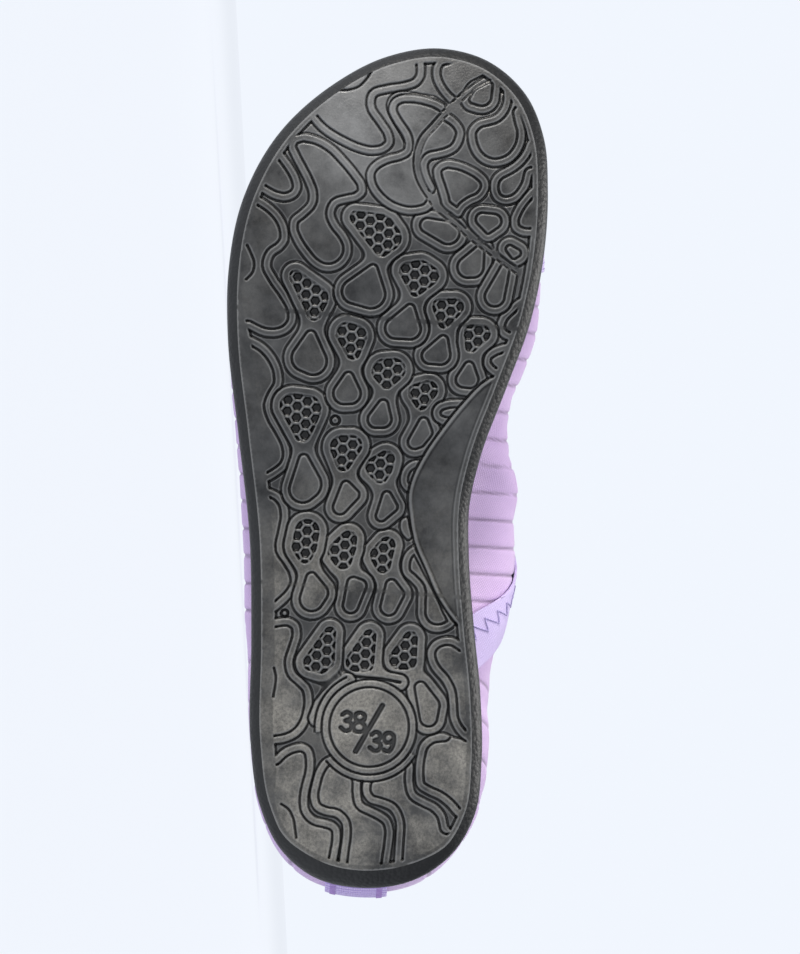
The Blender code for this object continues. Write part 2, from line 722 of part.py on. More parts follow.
def vamp_band(material):
    """The smooth band that binds the vamp's rear edge on the arch side and runs down to the sole."""
    low = Vector((BAND_FOOT * LENGTH, 0.0, RIM_HEIGHT))
    high = Vector((BAND_HEAD * LENGTH, 0.0, THROAT_HEIGHT - BAND_DROP))
    run = (high - low).normalized()
    square = Vector((run.z, 0.0, -run.x))
    mesh = skin(GAP, len(CUP_ROWS))
    keep_side(mesh, low + square * 0.5 * BAND_WIDTH, square)
    keep_side(mesh, low - square * 0.5 * BAND_WIDTH, -square)
    keep_side(mesh, (0.0, 0.0, 0.0), (0.0, -1.0, 0.0))
    keep_side(mesh, high - run * BAND_END, run)
    keep_side(mesh, (0.0, 0.0, RIM_HEIGHT + SEAT_CLEARANCE), (0.0, 0.0, -1.0))
    thicken(mesh, OVERLAY_THICKNESS)
    bend(mesh)
    return add_object("vamp_band", mesh, material)


def collar_ring():
    """Places on both sides that end on the collar, in order round the opening: every half step of
    the sole's edge, and every quarter step round the tight bend at the throat."""
    throat_step = round(THROAT_SHARE * SIDE_STEPS)
    bend_steps = round(0.1 * SIDE_STEPS)
    bend_start = throat_step - bend_steps
    steps = [throat_step - 0.25 * k for k in range(4 * bend_steps)]
    steps += [bend_start - 0.5 * k for k in range(2 * bend_start)]
    outer = [("outer", step) for step in steps] + [("outer", 0)]
    inner = [("inner", step) for step in steps[:0:-1]]
    return outer + inner


def collar_binding(material):
    """The elastic binding folded over the collar's edge, outside, over the top and inside."""
    face = skin(0.0, 0)
    tree = BVHTree.FromBMesh(face)
    face.free()
    edge = [wall_line(side, step)[-1] for side, step in collar_ring()]
    outside = FOLD_CLEARANCE
    inside = -UPPER_WALL - FOLD_CLEARANCE
    rounding = BINDING_ROUND_SHARE * BINDING_THICKNESS
    section = (
        (BINDING_WIDTH, outside),
        (0.5 * BINDING_WIDTH, outside),
        (-FOLD_CLEARANCE, outside),
        (-FOLD_CLEARANCE, inside),
        (BINDING_INSIDE_SHARE * BINDING_WIDTH, inside),
        (BINDING_INSIDE_SHARE * BINDING_WIDTH, inside - BINDING_THICKNESS),
        (-FOLD_CLEARANCE - BINDING_THICKNESS, inside - rounding),
        (-FOLD_CLEARANCE - BINDING_THICKNESS, outside + rounding),
        (0.5 * BINDING_WIDTH, outside + BINDING_THICKNESS),
        (BINDING_WIDTH, outside + BINDING_THICKNESS),
    )
    mesh = bmesh.new()
    loops = []
    for k, top in enumerate(edge):
        ahead = (edge[(k + 1) % len(edge)] - edge[k - 1]).normalized()
        normal = tree.find_nearest(top)[1]
        beyond = ahead.cross(normal).normalized()
        inner_point = tree.find_nearest(top - beyond * 0.5 * BINDING_WIDTH)[0]
        if (inner_point - top).length < 0.25 * BINDING_WIDTH:
            beyond = -beyond
        verts = []
        for depth, out in section:
            spot, facing = tree.find_nearest(top - beyond * max(depth, 0.0))[:2]
            verts.append(mesh.verts.new(spot + facing * out + beyond * max(-depth, 0.0)))
        loops.append(verts)
    close_rings(mesh, loops)
    bend(mesh)
    return add_object("collar_binding", mesh, material)


def heel_tab(material):
    """The woven pull tab: a doubled tape sewn flat on the back of the heel, standing up past it."""
    middle = wall_line("outer", 0)[-1].y
    forward_lean = math.tan(math.radians(TOP_LINE[0].lean))
    rise_over_binding = FOLD_CLEARANCE + BINDING_THICKNESS
    over_binding = HEEL_HEIGHT - BINDING_WIDTH - 0.5 * TAB_THICKNESS
    mesh = skin(GAP, len(CUP_ROWS))
    keep_side(mesh, (HEEL_START * LENGTH, 0.0, 0.0), (1.0, 0.0, 0.0))
    keep_side(mesh, (0.0, middle + 0.5 * TAB_WIDTH, 0.0), (0.0, 1.0, 0.0))
    keep_side(mesh, (0.0, middle - 0.5 * TAB_WIDTH, 0.0), (0.0, -1.0, 0.0))
    keep_side(mesh, (0.0, 0.0, RIM_HEIGHT + 2.0 * SEAT_CLEARANCE), (0.0, 0.0, -1.0))
    keep_side(mesh, (0.0, 0.0, HEEL_HEIGHT - 2.0 * FOLD_CLEARANCE), (0.0, 0.0, 1.0))
    for height in (over_binding, over_binding - 2.0 * TAB_THICKNESS):
        geometry = mesh.verts[:] + mesh.edges[:] + mesh.faces[:]
        bmesh.ops.bisect_plane(mesh, geom=geometry, plane_co=(0, 0, height), plane_no=(0, 0, 1))
    mesh.normal_update()
    raised = [vert for vert in mesh.verts if vert.co.z > over_binding - GAP]
    moves = [vert.normal * rise_over_binding for vert in raised]
    for vert, move in zip(raised, moves):
        vert.co += move
    highest = max(vert.co.z for vert in mesh.verts)
    rim = [e for e in mesh.edges if e.is_boundary and all(v.co.z > highest - GAP for v in e.verts)]
    drawn = bmesh.ops.extrude_edge_only(mesh, edges=rim)["geom"]
    for vert in (piece for piece in drawn if isinstance(piece, bmesh.types.BMVert)):
        vert.co += Vector((forward_lean, 0.0, 1.0)) * (HEEL_HEIGHT + TAB_RISE - highest)
    thicken(mesh, TAB_THICKNESS)
    bend(mesh)
    return add_object("heel_tab", mesh, material)


def mass_centre(pieces):
    """The centre of mass of closed meshes, each with its density."""
    weight = 0.0
    moment = Vector()
    for piece, density in pieces:
        mesh = bmesh.new()
        mesh.from_mesh(piece.data)
        bmesh.ops.triangulate(mesh, faces=mesh.faces)
        for face in mesh.faces:
            a, b, c = (vert.co for vert in face.verts)
            volume = a.dot(b.cross(c)) / 6.0
            weight += density * volume
            moment += (a + b + c) * (density * volume / 4.0)
        mesh.free()
    return moment / weight


def resting_side(pieces, centre):
    """The outward normal of the plane that the shoe lies on: a face of its hull, on the outer
    side, that the centre of mass is over."""
    hull = bmesh.new()
    for piece in pieces:
        for vert in piece.data.vertices:
            hull.verts.new(vert.co)
    made = bmesh.ops.convex_hull(hull, input=hull.verts)["geom"]
    best = None
    for face in (piece for piece in made if isinstance(piece, bmesh.types.BMFace)):
        normal = face.normal
        if normal.dot(face.verts[0].co - centre) < 0.0:
            normal = -normal
        corners = [loop.vert.co for loop in face.loops]
        foot = centre + normal * normal.dot(corners[0] - centre)
        turns = [
            (b - a).cross(foot - a).dot(normal)
            for a, b in zip(corners, corners[1:] + corners[:1])
        ]
        inside = all(turn >= 0.0 for turn in turns) or all(turn <= 0.0 for turn in turns)
        if inside and (best is None or -normal.y > -best.y):
            best = normal.copy()
    hull.free()
    return best


def lay_down(pieces, down):
    """Hangs the pieces on an empty that turns them so that down points to the floor."""
    up = -down
    backwards = (Vector((-1.0, 0.0, 0.0)) + up * up.x).normalized()
    turn = Matrix((backwards, up.cross(backwards), up))
    corners = [turn @ vert.co for piece in pieces for vert in piece.data.vertices]
    lows = [min(corner[k] for corner in corners) for k in range(3)]
    highs = [max(corner[k] for corner in corners) for k in range(3)]
    shift = Vector((-0.5 * (lows[0] + highs[0]), -0.5 * (lows[1] + highs[1]), -lows[2]))
    shoe = bpy.data.objects.new("shoe", None)
    bpy.context.scene.collection.objects.link(shoe)
    for piece in pieces:
        piece.parent = shoe
    bpy.data.objects["tread_cutter"].parent = shoe
    shoe.matrix_world = Matrix.Translation(shift) @ turn.to_4x4()


RUBBER = finish("moulded rubber", (0.027, 0.032, 0.034), 0.55)
KNIT = finish("ribbed lilac knit", (0.56, 0.42, 0.70), 0.9)
SMOOTH_KNIT = finish("smooth lavender knit", (0.58, 0.50, 0.86), 0.85)
BINDING = finish("elastic binding", (0.50, 0.36, 0.80), 0.85)
TAPE = finish("woven tape", (0.47, 0.35, 0.78), 0.8)
LINER = finish("insole foam", (0.33, 0.30, 0.40), 0.95)

rubber_pieces = [outsole(RUBBER)]
fabric_pieces = [
    upper(KNIT),
    insole(LINER),
    toe_cap(SMOOTH_KNIT),
    vamp_band(SMOOTH_KNIT),
    collar_binding(BINDING),
    heel_tab(TAPE),
]
all_pieces = rubber_pieces + fabric_pieces
weights = [(piece, RUBBER_DENSITY) for piece in rubber_pieces]
weights += [(piece, FABRIC_DENSITY) for piece in fabric_pieces]
lay_down(all_pieces, resting_side(all_pieces, mass_centre(weights)))
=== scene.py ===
"""The looks of a slip-on water shoe that lies on its outer side, sole towards the camera.

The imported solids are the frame.  Pieces are worked out as the shoe would stand on its tread, x from
the back of the heel to the toe, y towards the arch and z up, and one matrix then lays them down.
"""

import json
import math

import bmesh
import bpy
import numpy as np
from mathutils import Matrix, Vector
from mathutils.bvhtree import BVHTree
from mathutils.geometry import convex_hull_2d


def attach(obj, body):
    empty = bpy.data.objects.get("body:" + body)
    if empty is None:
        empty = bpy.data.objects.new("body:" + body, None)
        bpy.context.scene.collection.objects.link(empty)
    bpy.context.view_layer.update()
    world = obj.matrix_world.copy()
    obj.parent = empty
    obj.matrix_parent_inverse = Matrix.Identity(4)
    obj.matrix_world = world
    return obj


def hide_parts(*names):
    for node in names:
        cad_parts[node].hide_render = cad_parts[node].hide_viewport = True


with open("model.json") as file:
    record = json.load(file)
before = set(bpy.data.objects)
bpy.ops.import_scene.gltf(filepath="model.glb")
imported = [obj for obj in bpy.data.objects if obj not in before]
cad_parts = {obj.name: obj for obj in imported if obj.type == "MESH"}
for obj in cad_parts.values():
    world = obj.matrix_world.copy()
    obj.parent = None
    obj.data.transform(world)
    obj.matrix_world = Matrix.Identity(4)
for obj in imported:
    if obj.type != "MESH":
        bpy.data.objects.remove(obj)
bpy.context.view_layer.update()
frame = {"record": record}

# The lie of the shoe, read from the two flat spots of its tread.
# Heel and forefoot spots are the record's; where they sit on the standing shoe is the source's.
HEEL_SPOT = Vector((0.048, -0.0030184, 0.0))
FOREFOOT_SPOT = Vector((0.16725, -0.0027427, 0.0))

mounts = {mount["name"]: mount for mount in frame["record"]["mounts"]}
heel_mount = Vector(mounts["heel_tread"]["pos_m"])
up_axis = -Vector(mounts["heel_tread"]["axis"]).normalized()
spot_run = (Vector(mounts["forefoot_tread"]["pos_m"]) - heel_mount).normalized()
spot_turn = math.atan2(FOREFOOT_SPOT.y - HEEL_SPOT.y, FOREFOOT_SPOT.x - HEEL_SPOT.x)
toe_axis = spot_run * math.cos(spot_turn) - up_axis.cross(spot_run) * math.sin(spot_turn)
arch_axis = up_axis.cross(toe_axis)
SHOE_TURN = Matrix((toe_axis, arch_axis, up_axis)).transposed()
SHOE = Matrix.Translation(heel_mount - SHOE_TURN @ HEEL_SPOT) @ SHOE_TURN.to_4x4()

# Camera, lights, floor and backdrop: a pale studio sweep.
# The camera looks square at the sole and is rolled, so that the toe points up in the picture and
# the shoe's outer side, which it rests on, is on the left.
VIEW_CENTRE = Vector((0.1219, 0.0003, 0.0))
VIEW_DISTANCE = 1.2
VIEW_HEIGHT = 0.2804
VIEW_ROLL = math.radians(4.4793)
SENSOR = 36.0
PALE = "#eff4fc"
ROOM = 6.0
AMBIENT = 0.30


def linear(hex_colour):
    """An sRGB hex colour as linear light, with an alpha of one."""
    parts = [int(hex_colour[k : k + 2], 16) / 255.0 for k in (1, 3, 5)]
    return [p / 12.92 if p <= 0.04045 else ((p + 0.055) / 1.055) ** 2.4 for p in parts] + [1.0]


def node(tree, kind, settings=None, **links):
    """Adds a shader node, sets its properties and sockets, and links those given as (node, output)."""
    made = tree.nodes.new("ShaderNode" + kind)
    for key, value in (settings or {}).items():
        setattr(made, key, value)
    for key, value in links.items():
        socket = made.inputs[int(key[1:])] if key[0] == "_" else made.inputs[key.replace("_", " ")]
        if isinstance(value, tuple) and isinstance(value[0], bpy.types.Node):
            tree.links.new(value[0].outputs[value[1]], socket)
        else:
            socket.default_value = value
    return made


def material(name, roughness, **sockets):
    """A Principled material with its plain sockets set, and its tree and shader."""
    made = bpy.data.materials.new(name)
    made.use_nodes = True
    shader = made.node_tree.nodes["Principled BSDF"]
    shader.inputs["Roughness"].default_value = roughness
    for key, value in sockets.items():
        shader.inputs[key.replace("_", " ")].default_value = value
    return made, made.node_tree, shader


def area_light(name, spot, size, power, hex_colour):
    """A soft square light aimed at the middle of the shoe, its place in metres of the room."""
    data = bpy.data.lights.new(name, "AREA")
    data.size = size
    data.energy = power
    data.color = linear(hex_colour)[:3]
    light = bpy.data.objects.new(name, data)
    bpy.context.scene.collection.objects.link(light)
    light.location = spot
    light.rotation_euler = (SHOE @ VIEW_CENTRE - Vector(spot)).to_track_quat("-Z", "Y").to_euler()


def room_plane(name, place, paper, glow):
    """A plain sheet of the studio sweep, mostly bright of itself, so that floor and wall are one."""
    mesh = bmesh.new()
    bmesh.ops.create_grid(mesh, x_segments=1, y_segments=1, size=ROOM, matrix=place)
    data = bpy.data.meshes.new(name)
    mesh.to_mesh(data)
    mesh.free()
    made, _, shader = material(name + " paper", 0.95)
    shader.inputs["Base Color"].default_value = linear(paper)
    shader.inputs["Specular IOR Level"].default_value = 0.0
    shader.inputs["Emission Color"].default_value = linear(PALE)
    shader.inputs["Emission Strength"].default_value = glow
    data.materials.append(made)
    plane = bpy.data.objects.new(name, data)
    bpy.context.scene.collection.objects.link(plane)


camera_data = bpy.data.cameras.new("photo_view")
camera_data.sensor_width = SENSOR
camera_data.lens = SENSOR * VIEW_DISTANCE / VIEW_HEIGHT
camera = bpy.data.objects.new("photo_view", camera_data)
bpy.context.scene.collection.objects.link(camera)
picture_right = toe_axis * math.sin(VIEW_ROLL) + arch_axis * math.cos(VIEW_ROLL)
picture_up = toe_axis * math.cos(VIEW_ROLL) - arch_axis * math.sin(VIEW_ROLL)
camera_turn = Matrix((picture_right, picture_up, -up_axis)).transposed()
camera_spot = SHOE @ (VIEW_CENTRE - Vector((0.0, 0.0, VIEW_DISTANCE)))
camera.matrix_world = Matrix.Translation(camera_spot) @ camera_turn.to_4x4()
bpy.context.scene.camera = camera
bpy.context.scene.view_settings.view_transform = "Standard"

WALL_TURN = Matrix.Rotation(math.pi / 2, 4, "X")
room_plane("floor", Matrix.Identity(4), "#58585a", 0.905)
room_plane("backdrop", Matrix.Translation((0.0, ROOM, 0.0)) @ WALL_TURN, "#000000", 1.02)
area_light("key", (-0.90, -0.50, 0.10), 0.22, 9.0, "#fffaf2")
area_light("top", (0.05, 0.10, 1.10), 0.60, 9.0, "#fffdfa")
area_light("front", (0.20, -1.30, 0.75), 0.70, 5.0, "#fbfcff")
world = bpy.data.worlds.new("studio")
world.use_nodes = True
world.node_tree.nodes["Background"].inputs["Color"].default_value = linear(PALE)
world.node_tree.nodes["Background"].inputs["Strength"].default_value = AMBIENT
bpy.context.scene.world = world

# Outsole tread: one moulding of dark rubber with the raised forms cast in it.
# Rim, plateaus and islands share one level, each with a rounded bead along its edge, made by a thin
# groove inside it, and a line pressed in at its foot.  The windows go down to a honeycomb.
MM = 0.001
LENGTH = 0.250
BALL_WIDTH = 0.0917
HEEL_WIDTH = 0.0686
RIM_FLARE = 0.0031
HEEL_FLARE = 0.0026
RIM_FLAT = 0.0016
OUTER_RIM_EXTRA = 0.0024
SOLE_THICKNESS = 0.0040
RIM_HEIGHT = 0.0105
TREAD_GRAIN = 0.00028
TREAD_BACK = 0.0022
TREAD_CUTS = (0.0, 0.088, 0.168, LENGTH)
# Where the painted sheen near the toe is centred, in metres of the plan
PAINTED_SHEEN_SPOT = (0.226, -0.014, 0.0)
BASE_LEVEL = -0.70
BEAD_WIDTH = 2.2
GROOVE_HALF = 0.56
GROOVE_FLAT = 0.05
GROOVE_LEVEL = 0.95
TRENCH_PLACE = 0.42
TRENCH_HALF = 0.40
TRENCH_FLAT = 0.06
TRENCH_LEVEL = -0.42
SLIT_WIDTH = 0.55
WINDOW_FLOOR = -1.60
COMB_LEVEL = -0.42
COMB_PITCH = 3.30
COMB_HOLE = 1.20
NECK_BLEND = 3.4
CLEAN_RIM = -0.45
REACH = 2.0
OVERLAP_LEAN = 0.4
TOE_SPRING = 0.011
TOE_SPRING_POWER = 1.7
HEEL_LIFT = 0.0015
ARCH_LIFT = 0.004

# Shares of the length: where the toe springs up, how far the heel is rounded up, where the arch
# starts and how long it is, and where the outer rim widens and narrows, each with its run
TOE_SPRING_START = 0.76
HEEL_STRETCH = 0.06
ARCH_START = 0.30
ARCH_RUN = 0.26
RIM_WIDENS = (0.08, 0.05)
RIM_NARROWS = (0.62, 0.06)

# How far the corners of each kind of step are rounded, outside its line and inside it
STEP_SOFT = (0.20, 0.26)
SLIT_SOFT = (0.20, 0.15)
WINDOW_SOFT = (0.18, 0.24)
COMB_SOFT = (0.15, 0.15)
TAIL_SOFT = (0.20, 0.20)
FLEX_SOFT = (0.25, 0.20)
RIM_SOFT = (0.20, 0.22)
BEAD_SOFT = (0.20, 0.30)
STROKE_SOFT = (0.10, 0.22)

# The sole's edge from below, round from the heel's back by the outer side, over the toe and back by
# the arch: along as a share of LENGTH, across as a share of the width there
SOLE_EDGE = (
    (0.000, -0.010), (0.010, -0.245), (0.037, -0.378), (0.089, -0.488), (0.160, -0.547),
    (0.280, -0.570), (0.400, -0.560), (0.520, -0.570), (0.640, -0.592), (0.712, -0.599),
    (0.800, -0.571), (0.879, -0.478), (0.945, -0.315), (0.985, -0.145), (1.000, 0.020),
    (0.989, 0.183), (0.950, 0.317), (0.900, 0.382), (0.840, 0.406), (0.760, 0.409),
    (0.680, 0.382), (0.600, 0.330), (0.520, 0.280), (0.460, 0.268), (0.400, 0.296),
    (0.320, 0.357), (0.240, 0.421), (0.160, 0.450), (0.100, 0.441), (0.053, 0.366),
    (0.015, 0.205),
)
TOE_ROW = 14
CURVE_STEPS = 12
SIDE_STEPS = 30

# Islands, in millimetres from the heel and from the middle line: circles (along, across, radius)
# that a window's edge is drawn round, then those of the pad behind it, then a narrow slot if any
ISLANDS = (
    (((197.0, -18.5, 1.9), (193.8, -11.5, 4.8), (191.8, -8.4, 3.7), (188.1, -10.3, 2.1)),
     ((182.2, -12.4, 1.4), (175.2, -17.4, 3.6), (174.8, -12.4, 4.2)), ()),
    (((182.6, -2.2, 2.5), (182.3, 1.5, 3.6), (181.6, 4.4, 2.8), (176.8, 0.6, 1.7)),
     ((171.4, -0.6, 1.4), (165.4, -4.4, 3.1), (165.5, -0.1, 3.1)), ()),
    (((172.8, 8.2, 2.3), (173.0, 12.6, 2.5), (168.0, 9.6, 1.6)),
     ((162.9, 9.8, 1.5), (158.1, 6.3, 2.4), (158.6, 9.4, 2.9)), ()),
    (((165.6, 18.3, 2.6), (165.8, 21.0, 2.5), (161.6, 18.1, 1.6)),
     ((155.8, 18.0, 1.5), (151.8, 16.6, 2.2), (152.0, 18.6, 2.5)), ()),
    (((178.4, -34.9, 1.8), (172.4, -28.3, 3.5), (167.8, -28.6, 2.0)),
     ((161.2, -29.1, 1.6), (154.6, -30.2, 4.0), (153.8, -27.8, 4.0)), ()),
    (((162.8, -18.6, 3.2), (162.2, -16.0, 3.3), (157.3, -16.3, 2.1)),
     ((150.0, -17.1, 1.5), (145.1, -18.0, 3.2), (145.2, -16.2, 3.1)), ()),
    (((152.6, -6.9, 3.5), (153.2, -4.0, 3.4), (149.4, -5.7, 2.0)),
     ((142.7, -6.3, 1.5), (138.2, -8.0, 2.5), (138.4, -6.0, 2.5)), ()),
    (((147.0, 3.5, 2.7), (148.0, 6.6, 2.8), (143.8, 4.9, 1.8)),
     ((138.4, 6.0, 1.5), (132.4, 3.8, 2.0), (135.5, 6.8, 2.0), (132.9, 5.0, 2.0)), ()),
    (((140.3, -33.0, 3.6), (139.6, -28.5, 4.2), (132.3, -29.2, 2.4)),
     ((124.9, -28.3, 1.5), (117.6, -27.0, 4.4), (116.0, -28.0, 3.9)), ()),
    (((129.3, -17.4, 3.5), (130.0, -14.5, 3.0), (124.4, -16.6, 2.1)),
     ((118.0, -15.3, 1.5), (115.6, -13.0, 1.8), (111.6, -16.6, 2.1)), ()),
    (((126.7, -4.2, 2.6), (124.2, -7.4, 2.8), (121.6, -5.4, 2.0), (124.0, -4.3, 2.2)),
     ((116.0, -3.1, 1.4), (112.9, -1.3, 1.6), (110.0, -4.3, 1.6)), ()),
    (((103.8, -25.7, 3.6), (99.6, -26.2, 3.7), (96.4, -25.8, 2.0)),
     ((90.3, -23.3, 1.6), (84.0, -22.8, 3.5), (86.0, -21.0, 2.9)), ()),
    (((102.4, -13.4, 2.5), (98.5, -16.2, 3.0), (96.2, -14.6, 2.7), (99.8, -13.6, 2.6)),
     ((89.6, -10.9, 1.9), (89.0, -9.0, 2.0), (83.1, -11.2, 2.3)), ()),
    (((101.6, -1.9, 2.4), (98.3, -3.9, 2.8), (95.6, -2.7, 2.3)),
     ((90.0, 0.3, 1.7), (87.4, 2.2, 2.0), (83.5, 0.0, 2.5)), ()),
    (((74.7, -16.6, 1.7), (66.5, -17.3, 2.6), (65.4, -21.3, 2.5), (64.9, -18.8, 2.6)), (),
     ((60.9, -10.4), (59.4, -11.7), (55.6, -15.7), (53.0, -17.5), (49.2, -18.6))),
    (((74.6, -4.9, 1.9), (66.5, -5.6, 2.6), (66.6, -8.6, 2.8)), (),
     ((62.4, -8.5), (62.3, -5.5), (62.3, -0.4), (61.7, 5.0))),
    (((74.8, 7.1, 2.1), (68.2, 6.8, 2.6), (68.4, 4.2, 3.0)),
     ((60.6, 11.2, 1.8), (55.5, 14.2, 3.0), (52.0, 14.2, 2.6)), ()),
)
TAIL_HALF = 0.45
TAIL_LEVEL = -1.10

# Single pads, as circles
LONE_PADS = (
    ((231.3, -7.6, 2.0), (231.3, 0.5, 1.2), (230.6, 2.6, 0.9), (222.3, -3.2, 0.8)),
    ((196.3, 2.6, 2.2), (194.6, 8.8, 3.4)),
    ((190.5, 18.6, 1.3), (184.9, 15.4, 3.1), (185.0, 17.0, 3.0)),
    ((186.5, 26.6, 1.2), (176.9, 23.9, 2.9), (182.0, 25.8, 1.6)),
    ((199.3, 18.6, 2.0), (199.0, 22.0, 2.2), (196.0, 20.5, 0.8)),
    ((191.2, 27.3, 1.2), (190.2, 29.4, 1.2), (189.4, 28.6, 1.0)),
    ((239.5, 17.6, 1.0), (236.0, 15.6, 2.9), (234.8, 13.2, 1.2)),
)

# Pads and curls with an outline of their own: points along their beaded edge, then those along the
# flex channel, where they have no bead; the ones named last lie on top
CHARTED = (
    (((110, 3), (109.3, 1.9), (107, 1.7), (105, 2.7), (103.9, 4.3), (104.6, 5.1), (107, 4.2)), ()),
    (((127, 6.3), (127, 4.3), (125, 1.6), (122, 0.6), (119.5, 1.0), (118, 2.6), (118.6, 5.6)), ()),
    (((145.8, 18.5), (145.8, 15.5), (145.2, 12), (144, 9.6), (141.8, 8.5), (139.5, 9.3), (138.4, 11.5),
     (138.8, 15.5)), ()),
    (((102, 6.8), (100.5, 4.4), (97, 3), (93.5, 3.6), (91.5, 6), (89.5, 8), (85, 8.5), (81, 9),
     (78.5, 10.8), (77.3, 13.8), (77.8, 16.8), (80, 19.6), (85, 17.6), (90, 14.8), (95, 11.6),
     (100, 8.4)), ()),
    (((220.5, -36), (220, -32), (218, -27.5), (214, -22.8), (210, -19), (207, -16.8), (204.3, -16.6),
     (202.3, -18.5), (201.3, -21.5), (200, -24.5), (197.5, -25.2), (195, -24), (192, -21.3),
     (189, -19.6), (186, -19.4), (183, -20.8), (181, -23.5), (180.6, -27), (182, -30.2), (185, -33.3),
     (188.5, -36), (192, -37.6), (195, -37.4), (197.5, -35), (200.5, -32.7), (203, -32.7), (206, -34),
     (210, -36.4), (213.5, -38.6), (216.5, -40), (219, -39.2)), ()),
    (((216, 7), (215.7, 10.6), (214.7, 13.8), (212.8, 17.4), (211.2, 19), (209.2, 19.6), (207, 19),
     (205, 17.4), (203.7, 15.1), (202.1, 13.2), (199.6, 11.6), (200.7, 9.3), (202.7, 6.7),
     (204.7, 6), (208, 4.7), (211, 3.5), (213, 3.3), (215, 4.7)), ()),
    (((206.3, 3.3), (207, 3.7), (209.3, 2.7), (212.3, 1.3), (214.3, 1), (215.7, 1.7), (216.7, 4.3),
      (217.7, 7), (219.5, 9.5), (222, 10.7), (225, 11), (228, 9), (229.8, 6)),
     ((226, 3.2), (223, 0.9), (220, -0.3), (218, -0.7), (215, -1), (212, -0.3), (209, 1),
      (206.3, 2.3))),
    (((232.4, 4.8), (233.5, 2.6), (234.2, 0), (234.7, -5.5), (234.2, -8.5), (232.5, -10.7),
      (230, -11.3), (226, -9.3), (224, -7.7), (222, -6.3), (220, -5.7), (218.3, -5.8),
      (217.2, -7.3), (216, -10.7), (214.3, -13.7), (212.7, -15.3), (210.7, -16.2), (208, -16),
      (205.7, -15), (203.3, -13), (201, -10), (199.7, -6.7), (199.2, -3.3), (199.7, 0), (201, 2.7),
      (202.2, 3.5)),
     ((204, 2.6), (207, 0.4), (210, -1.3), (213, -2.3), (216, -2.8), (219, -2.4), (222, -1.4),
      (226, 1.5))),
)

